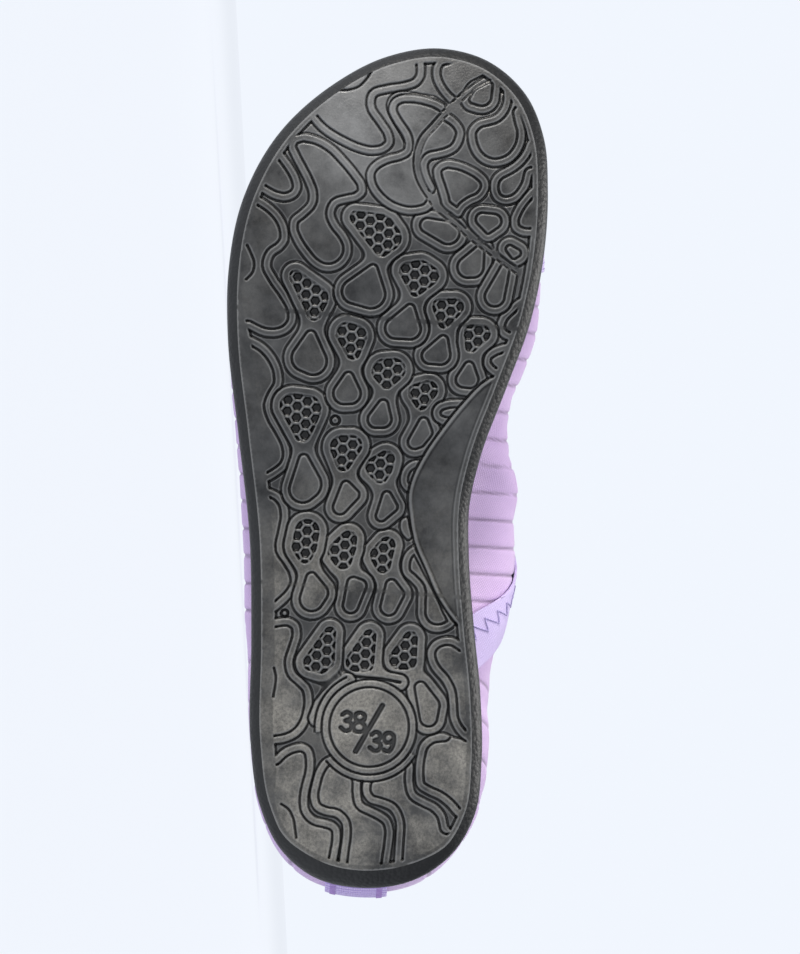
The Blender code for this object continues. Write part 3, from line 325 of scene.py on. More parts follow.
# Plateaus that grow out of the rim: points along their beaded edge, then points outside the tread
PLATEAUS = (
    (((226, -35.2), (222, -31), (218.5, -24.5), (216.6, -19), (216.2, -15.5), (217.2, -11.7),
     (219.8, -9.6), (222.5, -10.1), (226.5, -12.9), (231, -16), (233.5, -15.8), (235, -12.5),
     (236.4, -7), (238, -3.6), (240.5, -2.1), (243, -2), (246.7, -2.8)),
     ((256, -4), (250, -30), (232, -44))),
    (((215, -42.3), (211, -38.7), (207, -36.2), (204.5, -35.6), (202, -36.6), (200.4, -39.5),
     (200.7, -43), (202.6, -47.3)),
     ((204, -60), (222, -52))),
    (((200.8, -47.6), (198.5, -43.5), (195.5, -40.3), (192, -38.5), (188.5, -38.2), (186, -39.7),
     (184, -42), (181, -42.7), (178, -41), (173, -37), (169, -34.5), (165, -34), (162, -35.8),
     (160.4, -39), (160.3, -43), (162, -47.7)),
     ((163, -62), (200, -62))),
    (((159.5, -46.8), (157.5, -42.5), (154, -39), (150, -37), (146, -36.7), (142.5, -38.3), (140, -39),
     (137, -38), (133, -35.3), (129, -33), (125, -32.3), (122, -33.3), (119.8, -35.5),
     (117.8, -38.3)),
     ((116, -55), (160, -62))),
    (((115.3, -37.6), (114.3, -35), (112, -32.7), (108, -31.6), (103, -32), (98, -32.3), (95, -30),
     (92, -28), (88, -27.2), (85, -28.5), (82, -31), (80, -33)),
     ((79, -50), (116, -55))),
    (((77.3, -33), (77.9, -29), (76.5, -26.3), (73.5, -25.4), (69, -26.2), (65, -27), (62.3, -26.2),
     (60.3, -23.8), (58.3, -21.6), (55, -20.5), (51, -20.5), (47, -21.5), (44, -23.5), (42, -26.5),
     (40.9, -30.5)),
     ((41, -50), (76, -50))),
    (((36.8, -30), (39, -28), (40.8, -25), (41.3, -22), (40.2, -19.8), (37, -18.6), (33, -18.5),
     (29, -19.2), (25, -19.5), (22, -18.8), (20.3, -17), (19.5, -13), (19, -11.3), (17.5, -9.6),
     (15, -9.1), (10, -9.4), (7, -9.7)),
     ((-6, -10), (-4, -28), (12, -44), (34, -46))),
    (((7, -8.5), (12, -8.3), (16, -8.1), (19.3, -8.8), (20.8, -10.5), (21.3, -14), (22.8, -17.2),
     (26, -18.5), (30, -18.2), (34, -17.3), (37, -15.6), (39, -9), (32.4, -4.6), (28, -4.1),
     (25.5, -3.3), (24.2, -0.5), (23.2, 2), (21.3, 5), (18, 6.3), (14, 6.3), (8, 5.9)),
     ((-6, 6), (-6, -8))),
    (((9.5, 7.6), (16, 7.5), (21, 7.1), (24, 5.3), (25.2, 2), (26, -1.3), (28, -3), (32, -3.2), (36, 0),
     (40, 8), (38.5, 10.2), (33, 10.9), (29.5, 12.1), (28, 15), (26.5, 18.5), (24, 21), (20.5, 22.2)),
     ((12, 34), (-4, 18), (2, 8))),
    (((47.6, 19), (46.8, 15.5), (44.3, 12.8), (40, 11.8), (35, 11.8), (31.5, 12.7), (29.8, 15.5),
     (28.5, 19), (26.5, 22), (24.3, 24.2)),
     ((20, 34), (46, 34), (46.5, 22.3))),
    (((74.3, 22.8), (75.9, 19.5), (75.8, 17), (74.3, 14), (71.5, 12.5), (69, 12.8), (66, 14.5),
     (63, 17.5), (60, 19.3), (56, 20.1), (52, 20.8), (49, 22.5), (46.6, 25)),
     ((46, 38), (72, 38))),
    (((247.3, 4.6), (246, 1.9), (243.5, 0.8), (240.6, 1.0), (237.4, 2.6), (234.8, 4.8), (233.4, 6.6)),
     ((234.9, 8.6), (239.4, 13), (243.8, 17.8), (252, 22), (256, 4))),
    (((241.5, 21), (240.3, 21.8), (237.7, 22.1), (235.2, 22.3), (232.6, 21.6), (230.6, 20),
     (229.5, 17.4), (228.7, 15.2), (227.1, 13.5), (225.2, 12.6), (223.1, 12.7), (220.5, 13.5),
     (217.9, 15.1), (216, 17.7), (215.4, 20.6), (216, 23.5), (217.6, 26.1), (220.2, 28), (223.1, 29),
     (226.8, 29), (229.4, 28.1), (231.9, 27.4)),
     ((240, 36), (250, 26))),
    (((223.5, 30.3), (220.5, 29.3), (218.3, 28), (216.3, 26.1), (214.9, 24.1), (213.7, 22.2),
     (212.1, 20.9), (209.9, 20.3), (207.6, 20.6), (205.4, 21.9), (204.4, 24.5), (204.9, 27),
     (206.3, 29), (208.6, 30.6), (210.8, 31.5), (213.7, 32)),
     ((216, 44), (228, 40))),
    (((210, 32.7), (206.6, 29.9), (203, 27.9), (199.5, 27), (197, 27.8), (195.7, 30), (195.6, 33.5)),
     ((196, 44), (212, 44))),
    (((176.8, 31.2), (174, 28.3), (171, 26), (168, 25.4), (165.8, 26.5), (164.6, 28.8)),
     ((164, 42), (178, 42))),
    (((163, 27.5), (161.6, 24.5), (159.5, 22.3), (157, 22.2), (155, 23.7), (153.8, 25.5)),
     ((153, 38), (164, 40))),
)

# The smooth channel that the forefoot bends on, the edge of the smooth arch panel, short grooves
FLEX_LINE = (
    (246.8, 23.8), (243, 18.8), (239.7, 14.2), (235.5, 9.8), (232, 6.7), (230.5, 5.4), (226, 2),
    (222, -0.9), (219, -1.9), (216, -2.2), (213, -1.9), (210, -0.9), (207, 0.9), (204.5, 2.9),
    (202, 5), (199.7, 8), (197, 11.8), (194.5, 15), (191.5, 19.5), (189, 23.5), (186.5, 27.5),
    (184.5, 31), (183, 34),
)
FLEX_HALF = 1.15
ARCH_PANEL = (
    (152.5, 24.5), (144.1, 16.9), (137, 12.1), (127.9, 6.9), (120.5, 4.1), (116.4, 3.6), (111, 4.4),
    (103, 6.5), (95.6, 10.3), (87.8, 14.5), (83.6, 17.6), (80.5, 20.6), (78, 36), (154, 44),
)
ARCH_LEVEL = -0.45
ARCH_BEAD_HALF = 0.55
ARCH_BEAD_PLACE = 0.30
ARCH_BEAD_LEVEL = 0.06
SHORT_GROOVES = (
    ((241, -17.5), (238.5, -18.8), (236, -21), (234.8, -24), (234.6, -27)),
    ((186.3, -49.8), (184, -48.5), (181, -47.3), (178.5, -47.6), (176.3, -49.3)),
    ((63, -32.2), (60.5, -31.5), (58, -31.5), (54.5, -31.8)),
    ((23.3, -27), (22, -24.8), (19.5, -23.2), (16, -22.3), (13.7, -21.8)),
)
PINS = ((137.0, -20.0, 1.3), (79.3, -30.4, 1.0))

# The roundel under the heel, with plain numbers for the size, each drawn in a box one unit high
ROUNDEL = (47.9, -3.0)
ROUNDEL_DISC = 11.7
ROUNDEL_EDGE = 13.7
RING_PLACE = 14.8
RING_HALF = 0.95
RING_OUTSIDE = 15.8
RING_ARCS = ((118.0, 181.0), (-181.0, -132.0), (-100.0, -28.0))
DISC_SUNK = 0.10
DISC_SOFT = (0.0, 0.5)
DIGITS = {
    "3": (((0.05, 0.84), (0.26, 0.99), (0.50, 0.88), (0.50, 0.66), (0.24, 0.54), (0.54, 0.42),
           (0.55, 0.14), (0.28, 0.00), (0.02, 0.16)),),
    "8": (((0.30, 0.54), (0.06, 0.68), (0.08, 0.92), (0.30, 1.00), (0.52, 0.92), (0.54, 0.68),
           (0.30, 0.54), (0.02, 0.36), (0.05, 0.08), (0.30, 0.00), (0.55, 0.08), (0.58, 0.36),
           (0.30, 0.54)),),
    "9": (((0.54, 0.66), (0.32, 0.48), (0.08, 0.56), (0.03, 0.78), (0.14, 0.96), (0.34, 1.00),
           (0.52, 0.88), (0.56, 0.62), (0.48, 0.24), (0.30, 0.02), (0.06, 0.10)),),
}
NUMBERS = (("3", 46.2, -11.4), ("8", 46.2, -7.6), ("3", 41.0, -2.4), ("9", 41.0, 1.4))
NUMBER_HEIGHT = 5.6
STROKE_HALF = 0.72
STROKE_LEVEL = 0.85
SLASH_EXTRA = 0.08
SLASH = ((54.5, 0.4), (40.4, -6.4))


def smooth(share):
    """Goes from 0 to 1 with no corner at either end."""
    share = np.clip(share, 0.0, 1.0)
    return share * share * (3.0 - 2.0 * share)


def hermite(a, b, slope_a, slope_b, share, span):
    """The cubic between two values with the slopes that it has at them."""
    s2 = share * share
    s3 = s2 * share
    return (
        a * (2.0 * s3 - 3.0 * s2 + 1.0)
        + slope_a * span * (s3 - 2.0 * s2 + share)
        + b * (3.0 * s2 - 2.0 * s3)
        + slope_b * span * (s3 - s2)
    )


def width_at(along):
    """The width that shares across the sole are taken of: the heel's, the ball's or between them."""
    return HEEL_WIDTH + (BALL_WIDTH - HEEL_WIDTH) * smooth((along - 0.22) / 0.48)


def curve_through(points, closed, steps):
    """A smooth curve through points of the plan, cut into steps between two points."""
    count = len(points)

    def point(k):
        return points[k % count] if closed else points[min(max(k, 0), count - 1)]

    def tangent(k):
        before = (point(k) - point(k - 1)).length or 1.0
        after = (point(k + 1) - point(k)).length or 1.0
        into = (point(k) - point(k - 1)) / before
        out = (point(k + 1) - point(k)) / after
        return (into * after + out * before) / (before + after)

    curve = []
    for k in range(count if closed else count - 1):
        span = (point(k + 1) - point(k)).length
        for step in range(steps):
            curve.append(
                hermite(point(k), point(k + 1), tangent(k), tangent(k + 1), step / steps, span)
            )
    if not closed:
        curve.append(points[-1].copy())
    return curve


def side_curves():
    """The sole's edge as two curves from the heel's back to the toe, outer and inner."""
    points = [Vector((along * LENGTH, across * width_at(along))) for along, across in SOLE_EDGE]
    curve = curve_through(points, True, CURVE_STEPS)
    turn = TOE_ROW * CURVE_STEPS
    return {"outer": curve[: turn + 1], "inner": [curve[0]] + curve[: turn - 1 : -1]}


SIDES = side_curves()
RUNS = {
    side: np.cumsum([0.0] + [(b - a).length for a, b in zip(curve, curve[1:])])
    for side, curve in SIDES.items()
}


def edge_point(side, step, inset):
    """A point of the sole's edge, step of SIDE_STEPS along it from the heel, moved inwards by inset."""
    curve = SIDES[side]
    run = RUNS[side]
    wanted = run[-1] * step / SIDE_STEPS
    k = min(max(int(np.searchsorted(run, wanted)) - 1, 0), len(curve) - 2)
    spot = curve[k].lerp(curve[k + 1], min((wanted - run[k]) / (run[k + 1] - run[k]), 1.0))
    if step <= 0 or step >= SIDE_STEPS:
        across = SIDES["outer"][1] - SIDES["inner"][1]
        if step >= SIDE_STEPS:
            across = SIDES["inner"][-2] - SIDES["outer"][-2]
        inward = Vector((-across.y, across.x)).normalized()
    else:
        before = curve[max(k - 1, 0)]
        after = curve[min(k + 2, len(curve) - 1)]
        ahead = (after - before).normalized()
        inward = Vector((-ahead.y, ahead.x)) if side == "outer" else Vector((ahead.y, -ahead.x))
    return spot + inward * inset


def round_the_shoe(per_side):
    """Places round the sole's edge in order: by the outer side to the toe and back by the arch."""
    steps = [SIDE_STEPS * k / per_side for k in range(per_side + 1)]
    return [("outer", step) for step in steps] + [("inner", step) for step in steps[-2:0:-1]]


def lift(x, y):
    """How far the sole is bent up from the ground at a place of the plan."""
    along = x / LENGTH
    sprung = (along - TOE_SPRING_START) / (1.0 - TOE_SPRING_START)
    toe = TOE_SPRING * np.maximum(0.0, sprung) ** TOE_SPRING_POWER
    heel = HEEL_LIFT * np.maximum(0.0, (HEEL_STRETCH - along) / HEEL_STRETCH) ** 2
    share = (along - ARCH_START) / ARCH_RUN
    hump = smooth(2.0 * share) * smooth(2.0 - 2.0 * share)
    inwards = smooth((y / width_at(along) + 0.48) / 0.8)
    return toe + heel + ARCH_LIFT * hump * (0.3 + 0.7 * inwards)


def flare_at(x):
    """How far the sole's side leans out: more round the back of the heel."""
    return RIM_FLARE + HEEL_FLARE * smooth((HEEL_STRETCH - x / LENGTH) / HEEL_STRETCH)


def sole_outline(per_side, inset):
    """A closed outline inside the sole's edge; inset is worked out from the place and the side."""
    outline = []
    for side, step in round_the_shoe(per_side):
        x = edge_point(side, step, 0.0).x
        outline.append(edge_point(side, step, inset(x, side)))
    return outline


def line_distance(spots, line):
    """How far spots lie from an open line."""
    line = np.array([tuple(point) for point in line])
    nearest = np.full(len(spots), np.inf)
    for a, b in zip(line, line[1:]):
        off = spots - a
        share = np.clip(off @ (b - a) / max((b - a) @ (b - a), 1e-12), 0.0, 1.0)
        gap = off - share[:, None] * (b - a)
        nearest = np.minimum(nearest, np.einsum("ij,ij->i", gap, gap))
    return np.sqrt(nearest)


def distance(spots, outline):
    """How far spots lie from a closed outline, negative inside it."""
    outline = np.array([tuple(point) for point in outline])
    inside = np.zeros(len(spots), dtype=bool)
    for a, b in zip(outline, np.roll(outline, -1, axis=0)):
        run, off = b - a, spots - a
        if run[1] != 0.0:
            between = (a[1] > spots[:, 1]) != (b[1] > spots[:, 1])
            inside ^= between & (off[:, 0] < run[0] * off[:, 1] / run[1])
    return np.where(inside, -1.0, 1.0) * line_distance(spots, np.vstack((outline, outline[:1])))


def hull(circles):
    """The outline of a tight band round circles."""
    turns = [2.0 * math.pi * k / 28 for k in range(28)]
    points = [
        Vector((s + r * math.cos(turn), t + r * math.sin(turn))) for s, t, r in circles for turn in turns
    ]
    return [points[k] for k in convex_hull_2d(points)]


def rounded(points, closed=True):
    """A smooth curve through charted points."""
    return curve_through([Vector(point) for point in points], closed, 4)


def blend(a, b, width):
    """The lesser of two distances, rounded where they meet."""
    near = np.maximum(width - np.abs(a - b), 0.0) / width
    return np.minimum(a, b) - near * near * width * 0.25


def fall(value, high, low):
    """1 below low, 0 above high, and smooth between."""
    return 1.0 - smooth((value - low) / (high - low))


def within(value, place, soft):
    """1 inside a line at a place, 0 outside it, with a rounded corner on either side."""
    return fall(value, place + soft[0], place - soft[1])


def groove(away):
    """The depth of a thin groove, from how far its middle line is."""
    return -GROOVE_LEVEL * fall(np.abs(away), GROOVE_HALF, GROOVE_FLAT)


def honeycomb(spots):
    """The floor of a window: holes with six sides, between thin walls."""
    column = COMB_PITCH * math.sqrt(0.75)
    across = np.round(spots[:, 1] / column)
    shift = np.where(across % 2 == 0, 0.0, 0.5 * COMB_PITCH)
    s = spots[:, 0] - shift - COMB_PITCH * np.round((spots[:, 0] - shift) / COMB_PITCH)
    t = spots[:, 1] - across * column
    reach = np.maximum(np.abs(s), np.abs(t) * math.sqrt(0.75) + np.abs(s) * 0.5)
    return COMB_LEVEL + (WINDOW_FLOOR - COMB_LEVEL) * within(reach, COMB_HOLE, COMB_SOFT)


def near_to(spots, outline, reach):
    """The spots in a box round an outline, by their place in the list."""
    outline = np.array([tuple(point) for point in outline])
    low = outline.min(axis=0) - reach
    high = outline.max(axis=0) + reach
    return np.nonzero(((spots > low) & (spots < high)).all(axis=1))[0]


def trench(away):
    """The depth of the line pressed in along the foot of a raised form."""
    return TRENCH_LEVEL * fall(np.abs(away - TRENCH_PLACE), TRENCH_HALF, TRENCH_FLAT)


def cover(level, at, away, own):
    """Lays a raised form over what is there, with a slit and a pressed line round it."""
    slit = within(away, SLIT_WIDTH, SLIT_SOFT)
    below = level[at] * (1.0 - slit) + np.minimum(level[at], BASE_LEVEL) * slit
    below = np.maximum(below + trench(away), WINDOW_FLOOR)
    top = within(away, 0.0, STEP_SOFT)
    level[at] = below * (1.0 - top) + own * top


def island(level, spots, windows, pads, tail):
    """A window and the pad behind it, joined by a neck, with one bead round them."""
    outline = hull(windows) + (hull(pads) if pads else []) + [Vector(point) for point in tail]
    at = near_to(spots, outline, REACH * BEAD_WIDTH)
    if not len(at):
        return
    here = spots[at]
    window = distance(here, hull(windows))
    own = np.zeros(len(at))
    edge = window
    if tail:
        slot = line_distance(here, tail)
        edge = blend(window, slot, NECK_BLEND)
        own += TAIL_LEVEL * within(slot, TAIL_HALF, TAIL_SOFT)
    if pads:
        pad = distance(here, hull(pads))
        own += groove(pad)
        edge = blend(window, pad, NECK_BLEND)
    hole = within(window, 0.0, WINDOW_SOFT)
    own = own * (1.0 - hole) + honeycomb(here) * hole
    cover(level, at, edge - BEAD_WIDTH, own)


def raised(level, spots, edge, rest):
    """A flat form with a bead along its edge, closed by the rest of its outline."""
    outline = rounded(edge + rest)
    at = near_to(spots, outline, REACH)
    if len(at):
        bead = rounded(edge + (() if rest else edge[:1]), closed=False)
        own = groove(line_distance(spots[at], bead) - BEAD_WIDTH)
        cover(level, at, distance(spots[at], outline), own)


def numbers(spots):
    """How far spots are from the strokes of the size numbers."""
    nearest = line_distance(spots, SLASH) - SLASH_EXTRA
    for digit, along, across in NUMBERS:
        for stroke in DIGITS[digit]:
            line = [
                (along + y * NUMBER_HEIGHT, across + x * NUMBER_HEIGHT) for x, y in stroke
            ]
            nearest = np.minimum(nearest, line_distance(spots, rounded(line, closed=False)))
    return nearest


def roundel(level, spots):
    """The round disc under the heel: outer ring, bead, groove and sunk numbers."""
    at = np.nonzero(np.hypot(*(spots - ROUNDEL).T) < RING_OUTSIDE + REACH)[0]
    if not len(at):
        return
    here = spots[at]
    off = here - ROUNDEL
    away = np.hypot(*off.T)
    turn = np.degrees(np.arctan2(off[:, 1], off[:, 0]))
    ringed = np.zeros(len(at), dtype=bool)
    for start, end in RING_ARCS:
        ringed |= (turn > start) & (turn < end)
    ring = np.abs(away - RING_PLACE) - RING_HALF
    at_ring = at[ringed]
    cover(level, at_ring, ring[ringed], np.zeros(len(at_ring)))
    own = groove(away - ROUNDEL_DISC) - DISC_SUNK * within(away, ROUNDEL_DISC, DISC_SOFT)
    own -= STROKE_LEVEL * within(numbers(here), STROKE_HALF, STROKE_SOFT)
    cover(level, at, away - ROUNDEL_EDGE, own)


def field_inset(x, side):
    """Where the rim's inner edge runs: a wider rim on the outer side from heel to ball."""
    along = x / LENGTH
    (widens, widening), (narrows, narrowing) = RIM_WIDENS, RIM_NARROWS
    extra = smooth((along - widens) / widening) * (1.0 - smooth((along - narrows) / narrowing))
    return flare_at(x) + RIM_FLAT + (OUTER_RIM_EXTRA * extra if side == "outer" else 0.0)


FIELD = [point / MM for point in sole_outline(120, field_inset)]


def tread_level(spots):
    """The tread's level at spots of the plan, in millimetres below the ground's, and the same level taken
    lower on the rim, which places the dust and the painted groove shade.
    """
    level = np.full(len(spots), BASE_LEVEL)
    for edge, rest in PLATEAUS:
        raised(level, spots, edge, rest)
    in_order = sorted(ISLANDS, key=lambda row: row[0][0][0] - OVERLAP_LEAN * row[0][0][1])
    for windows, pads, tail in in_order:
        island(level, spots, windows, pads, tail)
    for circles in LONE_PADS:
        pad = hull(circles)
        at = near_to(spots, pad, REACH * BEAD_WIDTH)
        if len(at):
            away = distance(spots[at], pad)
            cover(level, at, away - BEAD_WIDTH, groove(away))
    for edge, rest in CHARTED:
        raised(level, spots, edge, rest)
    roundel(level, spots)
    flex = line_distance(spots, rounded(FLEX_LINE, closed=False))
    cut = within(flex, FLEX_HALF, FLEX_SOFT)
    beside = level > 0.5 * BASE_LEVEL
    level = level * (1.0 - cut) + BASE_LEVEL * cut
    level += np.where(beside, trench(FLEX_HALF - flex + 0.1), 0.0)
    panel = rounded(ARCH_PANEL)
    away = distance(spots, panel)
    cover(level, np.arange(len(spots)), away - ARCH_BEAD_PLACE, np.full(len(spots), ARCH_LEVEL))
    bead = within(np.abs(away + ARCH_BEAD_PLACE), ARCH_BEAD_HALF, BEAD_SOFT)
    level += (ARCH_BEAD_LEVEL - ARCH_LEVEL) * bead
    inwards = -distance(spots, FIELD)
    rim = within(inwards, 0.0, RIM_SOFT)
    level += np.where(level < 0.8 * BASE_LEVEL, trench(inwards), 0.0)
    level *= 1.0 - rim
    for line in SHORT_GROOVES:
        level += groove(line_distance(spots, rounded(line, closed=False)))
    for s, t, r in PINS:
        level += groove(np.hypot(spots[:, 0] - s, spots[:, 1] - t) - r)
    return level, level + CLEAN_RIM * rim


def place(piece_name, mesh, made, slot, replaced, uvs=None, sharp=40.0):
    """Turns a bmesh of the standing shoe into a piece that lies down, with its material and sharp edges, and
    hides the solid that it replaces.
    """
    data = bpy.data.meshes.new(piece_name)
    mesh.to_mesh(data)
    mesh.free()
    if uvs is not None:
        layer = data.uv_layers.new(name="UVMap")
        corners = np.empty(len(data.loops), dtype=np.int32)
        data.loops.foreach_get("vertex_index", corners)
        layer.data.foreach_set("uv", uvs(data)[corners].ravel())
    data.transform(SHOE)
    data.materials.append(made)
    data.shade_smooth()
    if sharp:
        data.set_sharp_from_angle(angle=math.radians(sharp))
    piece = bpy.data.objects.new(piece_name, data)
    bpy.context.scene.collection.objects.link(piece)
    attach(piece, "root")
    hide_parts(replaced)


def coordinates(data):
    """A mesh's points as an array."""
    flat = np.empty(3 * len(data.vertices))
    data.vertices.foreach_get("co", flat)
    return flat.reshape(-1, 3)


def plan_uvs(data):
    """Unwraps a piece by its place in the plan of the shoe, in metres."""
    return coordinates(data)[:, :2].copy()


def close_back(mesh, rim, height, spacing):
    """Draws a rim up to a height, fills it and cuts the filling, so that it can bend."""
    drawn = bmesh.ops.extrude_edge_only(mesh, edges=rim)["geom"]
    for edge in rim:
        edge.smooth = False
    for vert in (piece for piece in drawn if isinstance(piece, bmesh.types.BMVert)):
        vert.co.z = height
    back_rim = [piece for piece in drawn if isinstance(piece, bmesh.types.BMEdge)]
    back_rim = [edge for edge in back_rim if all(abs(v.co.z - height) < 1e-7 for v in edge.verts)]
    back = bmesh.ops.edgeloop_fill(mesh, edges=back_rim)["faces"]
    lows = [min(v.co[k] for f in back for v in f.verts) for k in range(2)]
    highs = [max(v.co[k] for f in back for v in f.verts) for k in range(2)]
    for k in range(2):
        normal = (1.0, 0.0, 0.0) if k == 0 else (0.0, 1.0, 0.0)
        for cut in range(1, int((highs[k] - lows[k]) / spacing) + 1):
            spot = Vector((0.0, 0.0, height))
            spot[k] = lows[k] + cut * spacing
            geometry = set(back) | {e for f in back for e in f.edges} | {v for f in back for v in f.verts}
            cut_made = bmesh.ops.bisect_plane(
                mesh, geom=list(geometry), dist=1e-7, plane_co=spot, plane_no=normal
            )["geom"]
            back = [piece for piece in cut_made if isinstance(piece, bmesh.types.BMFace)]


def bend(mesh):
    """Bends a piece that was worked out on a flat sole."""
    for vert in mesh.verts:
        vert.co.z += float(lift(vert.co.x, vert.co.y))


RIM_LINE = sole_outline(150, lambda x, side: flare_at(x))


def tread_piece(name, start, end, made):
    """A stretch of the tread: a fine grid, cut to the rim's line and pressed into its forms."""
    columns = round((end - start) / TREAD_GRAIN)
    width = 1.1 * BALL_WIDTH
    rows = round(width / TREAD_GRAIN)
    mesh = bmesh.new()
    to_place = Matrix.Translation((0.5 * (start + end), -0.004, 0.0))
    to_place = to_place @ Matrix.Diagonal((0.5 * (end - start), 0.5 * width, 1.0, 1.0))
    bmesh.ops.create_grid(mesh, x_segments=columns, y_segments=rows, size=1.0, matrix=to_place)
    mesh.verts.index_update()
    spots = np.array([(vert.co.x, vert.co.y) for vert in mesh.verts])
    inside = distance(spots, RIM_LINE) < 0.3 * TREAD_GRAIN
    outer = [vert for vert, keep in zip(mesh.verts, inside) if not keep]
    bmesh.ops.delete(mesh, geom=outer, context="VERTS")
    loose = [vert for vert in mesh.verts if not vert.link_faces]
    bmesh.ops.delete(mesh, geom=loose, context="VERTS")
    line = np.array([tuple(point) for point in RIM_LINE])
    following = np.roll(line, -1, axis=0)
    for vert in mesh.verts:
        if vert.is_boundary and start + 1e-6 < vert.co.x < end - 1e-6:
            spot = np.array((vert.co.x, vert.co.y))
            runs = following - line
            share = np.clip(((spot - line) * runs).sum(1) / (runs * runs).sum(1), 0.0, 1.0)
            feet = line + share[:, None] * runs
            nearest = feet[((feet - spot) ** 2).sum(1).argmin()]
            vert.co.x, vert.co.y = nearest
    spots = np.array([(vert.co.x, vert.co.y) for vert in mesh.verts])
    level, dust_and_shade_heights = tread_level(spots / MM)
    wear = mesh.verts.layers.float.new("wear")
    for vert, height, dust_and_shade_height in zip(mesh.verts, level, dust_and_shade_heights):
        vert.co.z = -height * MM
        vert[wear] = dust_and_shade_height
    rim = [edge for edge in mesh.edges if edge.is_boundary]
    close_back(mesh, rim, TREAD_BACK, 0.012)
    bend(mesh)
    bmesh.ops.recalc_face_normals(mesh, faces=mesh.faces)
    place(name, mesh, made, "rubber", "outsole", plan_uvs, sharp=None)


# What a Mix or Math node is told, here and in the materials below
COLOURS = {"data_type": "RGBA"}
DARKEN = {"data_type": "RGBA", "blend_type": "MULTIPLY"}
TIMES = {"operation": "MULTIPLY"}

# Compression-moulded rubber: matt and dark, with a faint grain from the mould and a cloudy mottle that is
# partly its own uneven tone and partly painted sheen.  Deep grooves are darkened with painted shade and
# convex edges lightened as a painted highlight; gritty dust lies on the flats under the heel, and a pale
# painted sheen stands for the light's reflection near the toe.
TREAD_RUBBER, tree, shader = material("moulded tread rubber", 0.50, Specular_IOR_Level=0.42)
where = node(tree, "TexCoord")
mottle = node(tree, "TexNoise", Vector=(where, "UV"), Scale=90.0, Detail=6.0, Roughness=0.65)
dust = node(tree, "TexNoise", Vector=(where, "UV"), Scale=28.0, Detail=8.0, Roughness=0.72)
level_read = node(tree, "Attribute", {"attribute_name": "wear"})
on_top = node(tree, "MapRange", _0=(level_read, "Fac"), _1=-0.62, _2=-0.10, _3=0.25, _4=1.0)
plan = node(tree, "SeparateXYZ", Vector=(where, "UV"))
heel_end = node(tree, "MapRange", _0=(plan, "X"), _1=0.13, _2=0.05, _3=0.10, _4=1.0)
dusty = node(tree, "MapRange", _0=(dust, "Fac"), _1=0.42, _2=0.60, _3=0.08, _4=1.0)
grit = node(tree, "TexNoise", Vector=(where, "UV"), Scale=1100.0, Detail=4.0, Roughness=0.7)
gritty = node(tree, "MapRange", _0=(grit, "Fac"), _1=0.36, _2=0.60, _3=0.45, _4=1.0)
heel_dust = node(tree, "Math", TIMES, _0=(dusty, 0), _1=(heel_end, 0))
heel_grit = node(tree, "Math", TIMES, _0=(heel_dust, 0), _1=(gritty, 0))
top_dust = node(tree, "Math", TIMES, _0=(heel_grit, 0), _1=(on_top, 0))
# The broad cloudy mottle is partly the rubber's own uneven tone and partly painted sheen of the light on its
# flats.
cloud = node(tree, "MapRange", _0=(mottle, "Fac"), _1=0.34, _2=0.68, _3=0.0, _4=1.0)
mottle_and_sheen = node(tree, "Mix", COLOURS, _0=(cloud, 0), _6=linear("#141517"), _7=linear("#454647"))
dust_and_sheen = node(tree, "Mix", COLOURS, _0=(top_dust, 0), _6=(mottle_and_sheen, 2), _7=linear("#8b8881"))
# Painted sheen: a pale, broken patch near the toe stands for the light's broad reflection there.
patch = node(tree, "VectorMath", {"operation": "DISTANCE"}, _0=(where, "UV"), _1=PAINTED_SHEEN_SPOT)
patch_edge = node(tree, "MapRange", _0=(patch, "Value"), _1=0.010, _2=0.038, _3=0.90, _4=0.0)
patchy = node(tree, "MapRange", _0=(dust, "Fac"), _1=0.38, _2=0.62, _3=0.10, _4=1.0)
painted_sheen = node(tree, "Math", TIMES, _0=(patch_edge, 0), _1=(patchy, 0))
dust_and_sheen = node(tree, "Mix", COLOURS, _0=(painted_sheen, 0), _6=(dust_and_sheen, 2), _7=linear("#777879"))
shape = node(tree, "NewGeometry")
# Painted highlight: convex edges, found by their pointiness, are made lighter, except along the lines where
# the tread's pieces meet.
edge_highlight = node(tree, "MapRange", _0=(shape, "Pointiness"), _1=0.505, _2=0.545, _3=0.0, _4=0.40)
from_cut = node(tree, "Math", {"operation": "SUBTRACT"}, _0=(plan, "X"), _1=TREAD_CUTS[1])
half_piece = 0.5 * (TREAD_CUTS[2] - TREAD_CUTS[1])
to_cut = node(tree, "Math", {"operation": "PINGPONG"}, _0=(from_cut, 0), _1=half_piece)
off_cut = node(tree, "MapRange", _0=(to_cut, 0), _1=0.0004, _2=0.0009, _3=0.0, _4=1.0)
edge_highlight = node(tree, "Math", TIMES, _0=(edge_highlight, 0), _1=(off_cut, 0))
edge_highlighted = node(tree, "Mix", COLOURS, _0=(edge_highlight, 0), _6=(dust_and_sheen, 2), _7=linear("#8f9091"))
